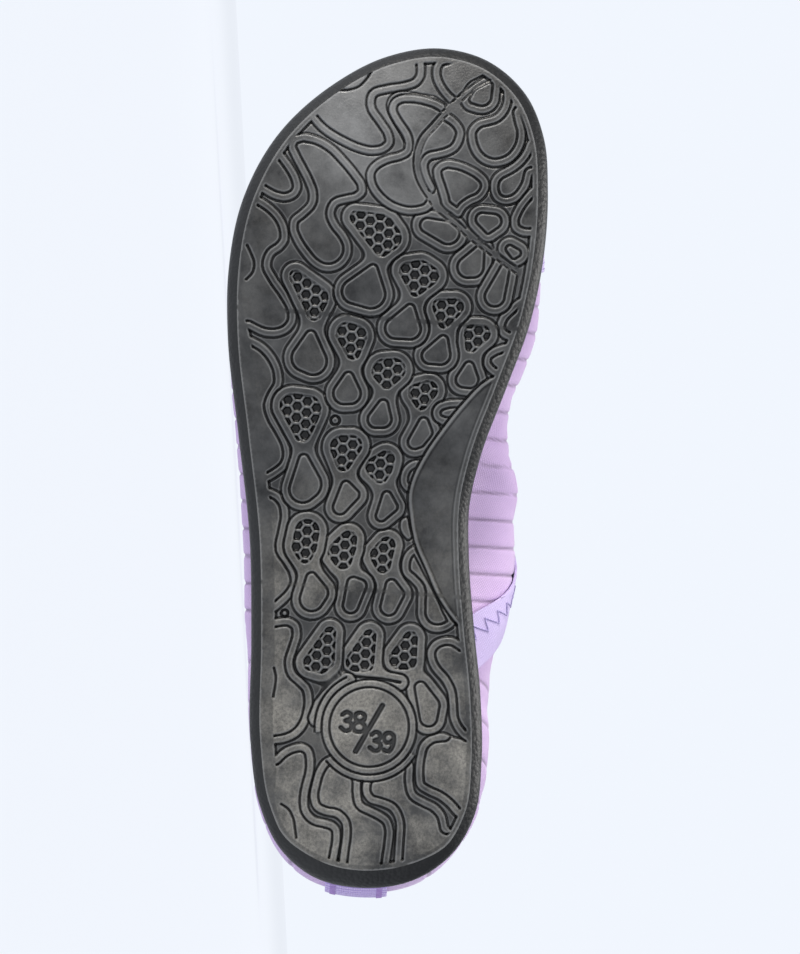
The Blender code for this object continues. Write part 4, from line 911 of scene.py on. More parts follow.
# Painted shade: concave spots deep in the grooves are darkened.
hollow = node(tree, "MapRange", _0=(shape, "Pointiness"), _1=0.455, _2=0.496, _3=0.04, _4=1.0)
deep = node(tree, "MapRange", _0=(level_read, "Fac"), _1=-1.10, _2=-0.74, _3=0.03, _4=1.0)
shadow = node(tree, "Math", TIMES, _0=(hollow, 0), _1=(deep, 0))
sunk = node(tree, "Mix", DARKEN, _0=1.0, _6=(edge_highlighted, 2), _7=(shadow, 0))
tree.links.new(sunk.outputs[2], shader.inputs["Base Color"])
gloss = node(tree, "MapRange", _0=(mottle, "Fac"), _1=0.3, _2=0.7, _3=0.28, _4=0.50)
tree.links.new(gloss.outputs[0], shader.inputs["Roughness"])
grain = node(tree, "TexNoise", Vector=(where, "UV"), Scale=1400.0, Detail=3.0)
bump = node(tree, "Bump", Strength=0.35, Distance=0.0002, Height=(grain, "Fac"))
tree.links.new(bump.outputs[0], shader.inputs["Normal"])

for part, start, end in zip(("heel", "waist", "toe"), TREAD_CUTS, TREAD_CUTS[1:]):
    tread_piece("outsole_tread_" + part, start, end, TREAD_RUBBER)

# Outsole side: the rest of the same moulding, a cup that the upper stands in.
# A sharp lower edge, a rounded pebbled side, a lip round the upper and a flat foot bed.
SIDE_TUCK = 0.0008
LIP_WIDTH = 0.0024
LIP_ROUND = 0.0007
WIDEST_HEIGHT = 0.0045
SIDE_ROUND = 2.5
PEBBLE = 0.0010


def loft(mesh, rings):
    """Draws a ring of points up through the others and leaves both ends open."""
    count = len(rings[0])
    made = bmesh.ops.create_circle(mesh, segments=count, radius=1.0)["verts"]
    for vert, point in zip(made, rings[0]):
        vert.co = point
    edges = list({edge for vert in made for edge in vert.link_edges})
    for below, above in zip(rings, rings[1:]):
        places = {Vector(point).to_tuple(7): k for k, point in enumerate(below)}
        drawn = bmesh.ops.extrude_edge_only(mesh, edges=edges)["geom"]
        verts = [piece for piece in drawn if isinstance(piece, bmesh.types.BMVert)]
        for vert in verts:
            vert.co = above[places[vert.co.to_tuple(7)]]
        fresh = set(verts)
        edges = [
            piece
            for piece in drawn
            if isinstance(piece, bmesh.types.BMEdge) and all(vert in fresh for vert in piece.verts)
        ]
    return edges


def sole_ring(flare_share, inset, height, per_side=200):
    """One level line of the sole, flare_share of the lean plus inset in from the sole's edge."""
    outline = sole_outline(per_side, lambda x, side: flare_share * flare_at(x) + inset)
    return [Vector((point.x, point.y, height)) for point in outline]


PEBBLED_RUBBER, tree, shader = material("pebbled side rubber", 0.46, Specular_IOR_Level=0.38)
where = node(tree, "TexCoord")
pebbles = node(tree, "TexVoronoi", {"feature": "F1"}, Vector=(where, "Object"), Scale=0.8 / PEBBLE)
specks = node(tree, "TexNoise", Vector=(where, "Object"), Scale=160.0, Detail=5.0)
rubber = node(tree, "Mix", COLOURS, _0=(specks, "Fac"), _6=linear("#131416"), _7=linear("#232425"))
tree.links.new(rubber.outputs[2], shader.inputs["Base Color"])
bump = node(tree, "Bump", {"invert": True}, Strength=0.5, Distance=0.0003, Height=(pebbles, "Distance"))
tree.links.new(bump.outputs[0], shader.inputs["Normal"])

mesh = bmesh.new()
side_rows = [
    sole_ring((1.0 - share) ** SIDE_ROUND, 0.0, share * WIDEST_HEIGHT)
    for share in (0.0, 0.04, 0.10, 0.18, 0.28, 0.40, 0.55, 0.75, 1.0)
]
side_rows += [
    sole_ring(0.0, 0.35 * SIDE_TUCK, 0.5 * (WIDEST_HEIGHT + RIM_HEIGHT)),
    sole_ring(0.0, SIDE_TUCK, RIM_HEIGHT - LIP_ROUND),
    sole_ring(0.0, SIDE_TUCK + 0.3 * LIP_ROUND, RIM_HEIGHT - 0.3 * LIP_ROUND),
    sole_ring(0.0, SIDE_TUCK + LIP_ROUND, RIM_HEIGHT),
    sole_ring(0.0, SIDE_TUCK + LIP_WIDTH, RIM_HEIGHT),
]
foot_rim = loft(mesh, side_rows)
close_back(mesh, foot_rim, SOLE_THICKNESS, 0.012)
bend(mesh)
bmesh.ops.recalc_face_normals(mesh, faces=mesh.faces)
place("outsole_side", mesh, PEBBLED_RUBBER, "rubber", "outsole")

# Insole: a thin sheet of foam under a knitted lining, glued on the foot bed.
GAP = 0.0003
UPPER_WALL = 0.0022
INSOLE_THICKNESS = 0.0030

LINING, tree, shader = material("lined insole foam", 0.95, Sheen_Weight=0.2)
shader.inputs["Base Color"].default_value = linear("#8f86a6")
where = node(tree, "TexCoord")
cells = node(tree, "TexVoronoi", {"feature": "F1"}, Vector=(where, "Object"), Scale=900.0)
bump = node(tree, "Bump", Strength=0.5, Distance=0.0003, Height=(cells, "Distance"))
tree.links.new(bump.outputs[0], shader.inputs["Normal"])

mesh = bmesh.new()
inset = SIDE_TUCK + LIP_WIDTH + GAP + UPPER_WALL + GAP
insole_top = SOLE_THICKNESS + GAP + INSOLE_THICKNESS
top_rim = loft(
    mesh,
    [
        sole_ring(0.0, inset, SOLE_THICKNESS + GAP, 100),
        sole_ring(0.0, inset, insole_top - 0.0006, 100),
        sole_ring(0.0, inset + 0.0002, insole_top - 0.0002, 100),
        sole_ring(0.0, inset + 0.0006, insole_top - 0.00001, 100),
    ],
)
close_back(mesh, top_rim, insole_top, 0.008)
close_back(mesh, [edge for edge in mesh.edges if edge.is_boundary], SOLE_THICKNESS + 0.9 * GAP, 0.008)
bend(mesh)
bmesh.ops.recalc_face_normals(mesh, faces=mesh.faces)
place("insole_lined", mesh, LINING, "liner", "insole")

# Upper: one knitted sock, cut on the last, its sunk ribs running across the foot.
# Stretch knit with a soft pile, its lower edge glued into the cup of the sole.
ANKLE_WIDTH = 0.059
HEEL_HEIGHT = 0.070
SIDE_HEIGHT = 0.056
THROAT_HEIGHT = 0.078
TOE_HEIGHT = 0.047
BULGE = 0.013
COLUMNS_PER_SIDE = 420
FLANK_ROWS = 13
CROWN_ROWS = 36
RIB_PITCH = 0.0081
RIB_START = 0.0868
RIB_DEPTH = 0.00055
RIB_HALF = 0.00055
HEEL_RIB_PITCH = 0.0116
HEEL_RIB_LEAN = 0.45
HEEL_RIB_HEIGHT = 0.030
HEEL_RIBS_END = 0.066
HEEL_RIBS_SLOPE = 0.30
RIB_FADE = 0.004
SEAM_FADE = 0.003
SEAM_CLEAR = 0.001
TOE_SEAM = 0.735 * LENGTH
TOE_SEAM_LEAN = 0.12

# Where the upper is widest, along the sole as a share of its length: how far it stands past the
# sole's edge on each side as shares of BULGE, and how high as shares of SIDE_HEIGHT
BELLY = (
    (0.00, 0.27, 0.27, 0.46, 0.46),
    (0.06, 0.14, 0.12, 0.42, 0.46),
    (0.16, 0.06, 0.18, 0.38, 0.46),
    (0.25, 0.11, 0.26, 0.36, 0.48),
    (0.32, 0.20, 0.74, 0.36, 0.50),
    (0.40, 0.20, 1.10, 0.36, 0.52),
    (0.48, 0.14, 1.04, 0.36, 0.52),
    (0.53, 0.10, 0.76, 0.36, 0.50),
    (0.57, 0.08, 0.34, 0.36, 0.48),
    (0.61, 0.05, 0.27, 0.36, 0.46),
    (0.66, 0.00, 0.26, 0.36, 0.44),
    (0.72, -0.08, 0.10, 0.36, 0.42),
    (0.78, -0.14, -0.06, 0.36, 0.40),
    (0.90, -0.16, -0.14, 0.37, 0.39),
    (1.00, -0.16, -0.16, 0.38, 0.38),
)

# The top line round the collar and down the instep: share of one side of the edge, along, middle
# and across as shares of length, ball and ankle width, height, and the lean from upright
TOP_LINE = (
    (0.0, 0.016, -0.035, 0.00, HEEL_HEIGHT, 6),
    (0.067, 0.034, -0.035, 0.24, 0.992 * HEEL_HEIGHT, 8),
    (0.133, 0.080, -0.036, 0.39, 0.950 * HEEL_HEIGHT, 13),
    (0.233, 0.180, -0.040, 0.48, 1.065 * SIDE_HEIGHT, 17),
    (0.333, 0.275, -0.045, 0.50, SIDE_HEIGHT, 20),
    (0.433, 0.375, -0.050, 0.45, 1.055 * SIDE_HEIGHT, 27),
    (0.500, 0.445, -0.050, 0.34, 0.860 * THROAT_HEIGHT, 42),
    (0.567, 0.510, -0.050, 0.14, 0.975 * THROAT_HEIGHT, 74),
    (0.6, 0.524, -0.050, 0.00, THROAT_HEIGHT, 90),
    (0.667, 0.600, -0.052, 0.00, 0.902 * THROAT_HEIGHT, 90),
    (0.733, 0.690, -0.055, 0.00, 1.277 * TOE_HEIGHT, 90),
    (0.833, 0.830, -0.045, 0.00, TOE_HEIGHT, 90),
    (1.0, 0.830, -0.045, 0.00, TOE_HEIGHT, 90),
)
THROAT_SHARE = 0.6

# Creases pressed into the knit: side, start and end as along and height in millimetres, half width and depth;
# a ridge has a negative depth
CREASES = (
    ("inner", 136, 18, 124, 44, 3.6, 1.2),
    ("inner", 130, 16, 112, 38, 3.2, -0.9),
    ("inner", 150, 20, 142, 44, 3.4, 0.7),
    ("inner", 58, 18, 44, 48, 4.0, 0.7),
    ("inner", 30, 16, 22, 50, 3.4, 0.6),
    ("outer", 150, 24, 132, 52, 4.4, 0.8),
    ("outer", 118, 26, 96, 50, 4.0, 0.7),
    ("outer", 70, 26, 56, 50, 4.0, 0.6),
    ("outer", 30, 24, 20, 52, 3.4, 0.6),
    ("inner", 160, 46, 140, 60, 4.0, 0.6),
    ("outer", 160, 46, 140, 60, 4.0, 0.6),
)


def read_table(rows, key, at):
    """Reads all columns of a table at a place between its rows, without overshooting them."""
    table = np.array(rows)
    places = table[:, key]
    at = min(max(at, places[0]), places[-1])
    i = min(int(np.searchsorted(places, at, side="right")) - 1, len(rows) - 2)
    rises = np.diff(table, axis=0) / np.diff(places)[:, None]

    def slope(k):
        if k in (0, len(rows) - 1):
            return np.zeros(table.shape[1])
        product = rises[k - 1] * rises[k]
        total = rises[k - 1] + rises[k]
        return np.where(product > 0.0, 2.0 * product / np.where(total == 0.0, 1.0, total), 0.0)

    span = places[i + 1] - places[i]
    return hermite(table[i], table[i + 1], slope(i), slope(i + 1), (at - places[i]) / span, span)


def bezier(a, b, c, d, share):
    """Points of the cubic curve from a to d with the handles b and c."""
    share = np.asarray(share)[:, None]
    left = 1.0 - share
    return a * left**3 + b * (3.0 * left**2 * share) + c * (3.0 * left * share**2) + d * share**3


def wall_line(side, step):
    """One line of the upper's outer face, from the foot bed up to the collar or the ridge."""
    up = np.array((0.0, 0.0, 1.0))
    foot = edge_point(side, step, SIDE_TUCK + LIP_WIDTH + GAP)
    along = edge_point(side, step, 0.0).x / LENGTH
    belly_row = read_table(BELLY, 0, along)
    column = 1 if side == "outer" else 2
    widest = edge_point(side, step, -belly_row[column] * BULGE)
    top_row = read_table(TOP_LINE, 0, step / SIDE_STEPS)
    sign = 1.0 if side == "inner" else -1.0
    top = np.array(
        (
            top_row[1] * LENGTH,
            top_row[2] * BALL_WIDTH + sign * top_row[3] * ANKLE_WIDTH,
            top_row[4],
        )
    )
    seat = np.array((foot.x, foot.y, SOLE_THICKNESS + GAP))
    mouth = np.array((foot.x, foot.y, RIM_HEIGHT + 0.5 * LIP_ROUND))
    belly = np.array((widest.x, widest.y, belly_row[column + 2] * SIDE_HEIGHT))
    rise = belly[2] - mouth[2]
    flank = bezier(
        mouth, mouth + up * 0.35 * rise, belly - up * 0.55 * rise, belly,
        np.arange(1, FLANK_ROWS + 1) / FLANK_ROWS,
    )
    lean = math.radians(top_row[5])
    inwards = (top - belly) * (1.0, 1.0, 0.0)
    reach = np.linalg.norm(inwards)
    heading = up * math.cos(lean) + inwards / reach * math.sin(lean)
    rise = top[2] - belly[2]
    hold = 0.38 * rise * math.cos(lean) + 0.55 * reach * math.sin(lean)
    crown = bezier(
        belly, belly + up * 0.50 * rise, top - heading * hold, top,
        np.arange(1, CROWN_ROWS + 1) / CROWN_ROWS,
    )
    return np.vstack((seat, mouth, flank, crown))


def wall_normals(wall):
    """The outward normals of the wall's points, the same on both sides of the ridge."""
    round_way = np.roll(wall, -1, axis=0) - np.roll(wall, 1, axis=0)
    up_way = np.gradient(wall, axis=1)
    normals = np.cross(round_way, up_way)
    sizes = np.linalg.norm(normals, axis=2, keepdims=True)
    normals = normals / np.maximum(sizes, 1e-15)
    normals[:, -1] = normals[:, -2]
    other_side = np.roll(normals[::-1, -1], 1, axis=0)
    start = round(THROAT_SHARE * COLUMNS_PER_SIDE)
    ridge = slice(start, len(wall) - start + 1)
    normals[ridge, -1] += other_side[ridge]
    normals[:, -1] /= np.linalg.norm(normals[:, -1], axis=1, keepdims=True)
    return normals


def rib_troughs(x, z):
    """How deep the knit is drawn in by its ribs: upright ones on the vamp, leaning ones behind."""
    front = (x - RIB_START) / RIB_PITCH
    back = (x + HEEL_RIB_LEAN * (z - HEEL_RIB_HEIGHT)) / HEEL_RIB_PITCH
    behind = 1.0 - smooth((x - HEEL_RIBS_SLOPE * z - HEEL_RIBS_END) / RIB_FADE)
    past_seam = smooth((x - TOE_SEAM - TOE_SEAM_LEAN * z + SEAM_CLEAR) / SEAM_FADE)
    on_vamp = (1.0 - behind) * (1.0 - past_seam)
    total = 0.0
    for phase, pitch, share in ((front, RIB_PITCH, on_vamp), (back, HEEL_RIB_PITCH, behind)):
        away = (phase - np.round(phase)) * pitch
        total = total + share * RIB_DEPTH * np.exp(-((away / RIB_HALF) ** 2))
    return total


WALL = np.array([wall_line(side, step) for side, step in round_the_shoe(COLUMNS_PER_SIDE)])
NORMALS = wall_normals(WALL)


def pressed_wall():
    """The wall's points with ribs and creases pressed in."""
    x = WALL[:, :, 0]
    z = WALL[:, :, 2]
    depth = rib_troughs(x, z) * smooth((z - RIM_HEIGHT) / SEAM_FADE)
    columns = len(WALL)
    outer = (np.arange(columns) <= COLUMNS_PER_SIDE)[:, None]
    for side, x0, z0, x1, z1, half, deep in CREASES:
        run = np.array((x1 - x0, z1 - z0)) * MM
        off = np.stack((x - x0 * MM, z - z0 * MM), axis=-1)
        share = np.clip(off @ run / (run @ run), 0.0, 1.0)
        away = np.linalg.norm(off - share[..., None] * run, axis=-1)
        on_side = outer if side == "outer" else ~outer
        depth = depth + on_side * deep * MM * np.exp(-((away / (half * MM)) ** 2))
    return WALL - NORMALS * depth[..., None]


def wall_mesh(points, offset, first_row=0, stride=1):
    """A sheet through the wall's points, closed round the shoe and along the ridge of the instep."""
    moved = points + NORMALS * offset
    moved = moved[::stride, first_row:]
    columns, rows = moved.shape[:2]
    mesh = bmesh.new()
    bmesh.ops.create_grid(mesh, x_segments=columns, y_segments=rows - 1, size=1.0)
    u = mesh.verts.layers.float.new("around")
    v = mesh.verts.layers.float.new("up_wall")
    trough = mesh.verts.layers.float.new("trough")
    ribs = rib_troughs(WALL[:, :, 0], WALL[:, :, 2])
    sunk = np.minimum(np.linalg.norm(points - WALL, axis=2), ribs)[::stride, first_row:] / RIB_DEPTH
    run = np.cumsum(np.linalg.norm(np.diff(moved, axis=1), axis=2), axis=1)
    for vert in mesh.verts:
        column = round(0.5 * (vert.co.x + 1.0) * columns) % columns
        row = round(0.5 * (vert.co.y + 1.0) * (rows - 1))
        vert.co = moved[column, row]
        vert[u] = moved[column, row, 0]
        vert[v] = run[column, row - 1] if row else 0.0
        vert[trough] = sunk[column, row]
    bmesh.ops.remove_doubles(mesh, verts=mesh.verts, dist=2e-6)
    bmesh.ops.dissolve_degenerate(mesh, edges=mesh.edges, dist=1e-6)
    bmesh.ops.recalc_face_normals(mesh, faces=mesh.faces)
    middle = Vector((0.5 * LENGTH, 0.0, 0.0))
    if sum(face.normal.dot(face.calc_center_median() - middle) for face in mesh.faces) < 0.0:
        bmesh.ops.reverse_faces(mesh, faces=mesh.faces)
    return mesh


def wall_uvs(data):
    """Unwraps a piece by how far along the shoe and how far up its wall a point lies, in metres."""
    return np.stack([layer_values(data, "around"), layer_values(data, "up_wall")], axis=1)


def layer_values(data, name):
    """The values of a point attribute."""
    values = np.empty(len(data.vertices))
    data.attributes[name].data.foreach_get("value", values)
    return values


KNIT_SLANT = math.radians(32.0)

# A wave texture at a scale of one repeats once in this length
WAVE_PITCH = 0.3142


def fabric(name, light, shade, thread, depth, roughness):
    """Knitted or woven cloth: a lattice of thread two ways, a soft uneven colour, and painted shade in the
    troughs of the ribs.
    """
    made, tree, shader = material(name, roughness, Sheen_Weight=0.25, Sheen_Roughness=0.5)
    where = node(tree, "TexCoord")
    tone = node(tree, "TexNoise", Vector=(where, "UV"), Scale=55.0, Detail=5.0)
    upright = {"rotation_type": "Z_AXIS"}
    aslant = node(tree, "VectorRotate", upright, Vector=(where, "UV"), Angle=KNIT_SLANT)
    courses, wales = (
        node(
            tree, "TexWave", {"bands_direction": way}, Vector=(aslant, 0),
            Scale=WAVE_PITCH / thread, Distortion=wobble, Detail=1.0,
        )
        for way, wobble in (("Y", 1.4), ("X", 1.2))
    )
    lattice = node(tree, "Math", TIMES, _0=(courses, "Fac"), _1=(wales, "Fac"))
    colour = node(tree, "Mix", COLOURS, _0=(tone, "Fac"), _6=linear(shade), _7=linear(light))
    dark = node(tree, "MapRange", _0=(lattice, 0), _1=0.0, _2=0.5, _3=0.86, _4=1.0)
    final = node(tree, "Mix", DARKEN, _0=1.0, _6=(colour, 2), _7=(dark, 0))
    # Painted shade: the knit is darkened in the troughs of its ribs.
    trough = node(tree, "Attribute", {"attribute_name": "trough"})
    ribbed = node(tree, "MapRange", _0=(trough, "Fac"), _1=0.15, _2=0.9, _3=1.0, _4=0.52)
    final = node(tree, "Mix", DARKEN, _0=1.0, _6=(final, 2), _7=(ribbed, 0))
    tree.links.new(final.outputs[2], shader.inputs["Base Color"])
    bump = node(tree, "Bump", Strength=0.7, Distance=depth, Height=(lattice, 0))
    tree.links.new(bump.outputs[0], shader.inputs["Normal"])
    return made


# Ribbed stretch knit: lilac, matt, a fine stitch that is drawn at 0.65 mm so that it shows
RIBBED_KNIT = fabric("ribbed stretch knit", "#e4caf0", "#caaade", 0.00065, 0.00014, 0.92)

mesh = wall_mesh(pressed_wall(), 0.0)
bmesh.ops.solidify(mesh, geom=mesh.faces, thickness=UPPER_WALL)
bend(mesh)
place("upper_knit", mesh, RIBBED_KNIT, "ribbed_knit", "upper", wall_uvs, sharp=60.0)

# Toe cap and vamp band: a second layer of smooth knit, laid over the ribbed one and stitched down.
# The cap covers the toes; the band runs from the collar down to the sole on the arch side.
OVERLAY_THICKNESS = 0.0008
SEAT_CLEARANCE = 0.0012
BAND_WIDTH = 0.0130
BAND_LOW = Vector((0.280 * LENGTH, 0.0, RIM_HEIGHT))
BAND_HIGH = Vector((0.480 * LENGTH, 0.0, THROAT_HEIGHT - 0.0110))
BAND_END = 0.0224
STITCH_RADIUS = 0.00024
ZIGZAG_STEP = 0.0019
ZIGZAG_WIDTH = 0.0034
ZIGZAG_SHIFT = 0.0022
ZIGZAG_START = 0.004
ZIGZAG_SPARE = 0.003
SEAM_ROWS = (0.0010, 0.0028)
SEAM_STITCH = 0.0030
SEAM_STITCH_ENDS = (0.0003, 0.0024)
SEAM_MIDDLE = Vector((TOE_SEAM, -0.004, 0.018))
SEAM_SWEEP = 95.0
SEAM_STEPS = 180
OUTSIDE = 0.12
FIRST_ROW = 2

SMOOTH_KNIT = fabric("smooth lavender knit", "#dacaf2", "#c6b4e8", 0.0007, 0.00008, 0.88)


def keep_side(mesh, spot, normal):
    """Cuts a sheet by a plane and keeps what lies behind it."""
    bmesh.ops.bisect_plane(
        mesh,
        geom=mesh.verts[:] + mesh.edges[:] + mesh.faces[:],
        dist=1e-6,
        plane_co=spot,
        plane_no=normal,
        clear_outer=True,
    )


def finish_overlay(mesh, thickness):
    """Gives a cut sheet its thickness outwards and rounds its cut edges."""
    bmesh.ops.solidify(mesh, geom=mesh.faces, thickness=-thickness)
    corners = [
        edge for edge in mesh.edges if len(edge.link_faces) == 2 and edge.calc_face_angle() > math.radians(60)
    ]
    bmesh.ops.bevel(
        mesh, geom=corners, offset=0.3 * thickness, segments=2, profile=0.5, affect="EDGES", material=-1
    )
    bend(mesh)


mesh = wall_mesh(WALL, GAP, FIRST_ROW, stride=2)
keep_side(mesh, (TOE_SEAM, 0.0, 0.0), (-1.0, 0.0, TOE_SEAM_LEAN))
keep_side(mesh, (0.0, 0.0, RIM_HEIGHT + SEAT_CLEARANCE), (0.0, 0.0, -1.0))
finish_overlay(mesh, OVERLAY_THICKNESS)
place("toe_cap_knit", mesh, SMOOTH_KNIT, "smooth_knit", "toe_cap", wall_uvs, sharp=50.0)

band_run = (BAND_HIGH - BAND_LOW).normalized()
band_square = Vector((band_run.z, 0.0, -band_run.x))
mesh = wall_mesh(WALL, GAP, FIRST_ROW)
keep_side(mesh, BAND_LOW + band_square * 0.5 * BAND_WIDTH, band_square)
keep_side(mesh, BAND_LOW - band_square * 0.5 * BAND_WIDTH, -band_square)
keep_side(mesh, (0.0, 0.0, 0.0), (0.0, -1.0, 0.0))
keep_side(mesh, BAND_HIGH - band_run * BAND_END, band_run)
keep_side(mesh, (0.0, 0.0, RIM_HEIGHT + SEAT_CLEARANCE), (0.0, 0.0, -1.0))
finish_overlay(mesh, OVERLAY_THICKNESS)
place("vamp_band_knit", mesh, SMOOTH_KNIT, "smooth_knit", "vamp_band", wall_uvs, sharp=50.0)

skin_mesh = wall_mesh(WALL, 0.0, FIRST_ROW, stride=3)
SKIN = BVHTree.FromBMesh(skin_mesh)
skin_mesh.free()


def on_skin(start, heading, height):
    """Where a line from outside first meets the knit, and that spot raised off the knit."""
    hit, facing = SKIN.ray_cast(start, heading)[:2]
    if hit is None:
        return None, None
    return hit, hit + (facing if facing.dot(heading) < 0.0 else -facing) * height


def thread(mesh, a, b, radius):
    """One short stitch of round thread between two points."""
    run = b - a
    turn = run.to_track_quat("Z", "Y").to_matrix().to_4x4()
    middle = Matrix.Translation((a + b) * 0.5) @ turn
    bmesh.ops.create_cone(
        mesh, cap_ends=True, segments=6, radius1=radius, radius2=radius, depth=run.length, matrix=middle
    )


# Machine stitches in dark purple thread: a zigzag along the vamp band, and two rows of running
# stitch round the toe cap's seam.
DARK_THREAD, tree, shader = material("dark purple thread", 0.7, Sheen_Weight=0.2)
where = node(tree, "TexCoord")
twist = node(tree, "TexNoise", Vector=(where, "Object"), Scale=1500.0)
tone = node(tree, "Mix", COLOURS, _0=(twist, "Fac"), _6=linear("#64539a"), _7=linear("#c9bde6"))
tree.links.new(tone.outputs[2], shader.inputs["Base Color"])

mesh = bmesh.new()
band_length = (BAND_HIGH - BAND_LOW).length - BAND_END - ZIGZAG_SPARE
corners = []
for k in range(int(band_length / ZIGZAG_STEP)):
    swing = ZIGZAG_SHIFT + (0.5 * ZIGZAG_WIDTH if k % 2 else -0.5 * ZIGZAG_WIDTH)
    corners.append(BAND_LOW + band_run * (ZIGZAG_START + k * ZIGZAG_STEP) + band_square * swing)
zigzag = []
height = GAP + OVERLAY_THICKNESS + 0.5 * STITCH_RADIUS
for a, b in zip(corners, corners[1:]):
    for part in range(4):
        start = a.lerp(b, part / 4.0) + Vector((0.0, OUTSIDE, 0.0))
        zigzag.append(on_skin(start, Vector((0.0, -1.0, 0.0)), height)[1])
for a, b in zip(zigzag, zigzag[1:]):
    thread(mesh, a, b, STITCH_RADIUS)
bend(mesh)
place("vamp_band_zigzag", mesh, DARK_THREAD, "smooth_knit", "vamp_band", sharp=60.0)

mesh = bmesh.new()
height = GAP + OVERLAY_THICKNESS - 0.3 * STITCH_RADIUS
for shift in SEAM_ROWS:
    points = []
    for k in range(SEAM_STEPS + 1):
        turn = math.radians(-SEAM_SWEEP + 2.0 * SEAM_SWEEP * k / SEAM_STEPS)
        direction = Vector((0.0, math.sin(turn), math.cos(turn)))
        spot = SEAM_MIDDLE + direction * OUTSIDE
        hit = on_skin(spot, -direction, height)[0]
        if hit is None:
            continue
        start = Vector((TOE_SEAM + TOE_SEAM_LEAN * hit.z + shift, spot.y, spot.z))
        hit, point = on_skin(start, -direction, height)
        if hit is not None and hit.z >= RIM_HEIGHT + 2.0 * SEAT_CLEARANCE:
            points.append(point)
    run = np.cumsum([0.0] + [(b - a).length for a, b in zip(points, points[1:])])
    for k in range(int(run[-1] / SEAM_STITCH)):
        ends = []
        for end in SEAM_STITCH_ENDS:
            along = k * SEAM_STITCH + end
            i = min(max(int(np.searchsorted(run, along)) - 1, 0), len(points) - 2)
            ends.append(points[i].lerp(points[i + 1], (along - run[i]) / (run[i + 1] - run[i])))
        thread(mesh, ends[0], ends[1], STITCH_RADIUS)
bend(mesh)
place("toe_cap_stitches", mesh, DARK_THREAD, "smooth_knit", "toe_cap", sharp=60.0)

# Overlock stitches in lilac thread, where the knit goes into the sole.
# Each runs up the wall from the lip, one every 2.7 mm.
OVERLOCK_PITCH = 0.0027
OVERLOCK_REACH = 0.42

LILAC_THREAD, tree, shader = material("lilac overlock thread", 0.8, Sheen_Weight=0.2)
shader.inputs["Base Color"].default_value = linear("#a98bc9")
mesh = bmesh.new()
mouth_row = WALL[:, 1]
root_row = WALL[:, 4]
run = np.cumsum(np.linalg.norm(np.diff(mouth_row, axis=0), axis=1))
for k in range(int(run[-1] / OVERLOCK_PITCH)):
    column = int(np.searchsorted(run, k * OVERLOCK_PITCH))
    low = Vector(mouth_row[column] + NORMALS[column, 1] * 0.0002)
    high = low.lerp(Vector(root_row[column] + NORMALS[column, 4] * 0.0003), OVERLOCK_REACH)
    thread(mesh, low, high, STITCH_RADIUS)
bend(mesh)
place("upper_overlock", mesh, LILAC_THREAD, "ribbed_knit", "upper", sharp=60.0)

# Collar binding: a soft elastic tape, folded over the collar's raw edge and sewn through.
# It is finely ribbed across its length and grips the ankle.
BINDING_WIDTH = 0.0070
BINDING_THICKNESS = 0.0010
FOLD_CLEARANCE = 0.0006
CORD_PITCH = 0.0011

mesh = bmesh.new()
throat_step = THROAT_SHARE * SIDE_STEPS
# Closer together round the tight bend at the throat than along the side
steps = [throat_step - 0.125 * k for k in range(24)]
steps += [throat_step - 3.0 - 0.2 * k for k in range(75)]
ring = [("outer", step) for step in steps] + [("outer", 0.0)] + [("inner", step) for step in steps[:0:-1]]
edge = [Vector(wall_line(side, step)[-1]) for side, step in ring]
outside = FOLD_CLEARANCE
inside = -UPPER_WALL - FOLD_CLEARANCE
thick = BINDING_THICKNESS
section = (
    (BINDING_WIDTH - 0.0002, outside), (0.5 * BINDING_WIDTH, outside), (-FOLD_CLEARANCE, outside),
    (-FOLD_CLEARANCE, inside), (0.6 * BINDING_WIDTH - 0.0002, inside),
    (0.6 * BINDING_WIDTH, inside - 0.3 * thick), (0.6 * BINDING_WIDTH - 0.0003, inside - thick),
    (0.3 * BINDING_WIDTH, inside - thick), (0.0, inside - 0.9 * thick),
    (-FOLD_CLEARANCE - 0.7 * thick, inside - 0.4 * thick), (-FOLD_CLEARANCE - thick, inside + 0.4 * thick),
    (-FOLD_CLEARANCE - 1.05 * thick, 0.5 * (inside + outside)),
    (-FOLD_CLEARANCE - thick, outside - 0.4 * thick), (-FOLD_CLEARANCE - 0.7 * thick, outside + 0.4 * thick),
    (0.0, outside + 0.9 * thick), (0.3 * BINDING_WIDTH, outside + thick),
    (0.6 * BINDING_WIDTH, outside + 0.92 * thick), (BINDING_WIDTH - 0.0003, outside + thick),
    (BINDING_WIDTH, outside + 0.7 * thick),
)
loops = []
for k, top in enumerate(edge):
    ahead = (edge[(k + 1) % len(edge)] - edge[k - 1]).normalized()
    normal = SKIN.find_nearest(top)[1]
    beyond = ahead.cross(normal).normalized()
    inner_point = SKIN.find_nearest(top - beyond * 0.5 * BINDING_WIDTH)[0]
    if (inner_point - top).length < 0.25 * BINDING_WIDTH:
        beyond = -beyond
    points = []
    for depth, out in section:
        spot, facing = SKIN.find_nearest(top - beyond * max(depth, 0.0))[:2]
        points.append(spot + facing * out + beyond * max(-depth, 0.0))
    loops.append(points)
around = mesh.verts.layers.float.new("around")
up_wall = mesh.verts.layers.float.new("up_wall")
made = bmesh.ops.create_grid(mesh, x_segments=len(loops), y_segments=len(section), size=1.0)["verts"]
edge_run = np.cumsum([0.0] + [(b - a).length for a, b in zip(edge, edge[1:])])
for vert in made:
    column = round(0.5 * (vert.co.x + 1.0) * len(loops)) % len(loops)
    row = round(0.5 * (vert.co.y + 1.0) * len(section)) % len(section)
    vert.co = loops[column][row]
    vert[around] = edge_run[column]
    vert[up_wall] = row * 0.001
bmesh.ops.remove_doubles(mesh, verts=mesh.verts, dist=1e-6)
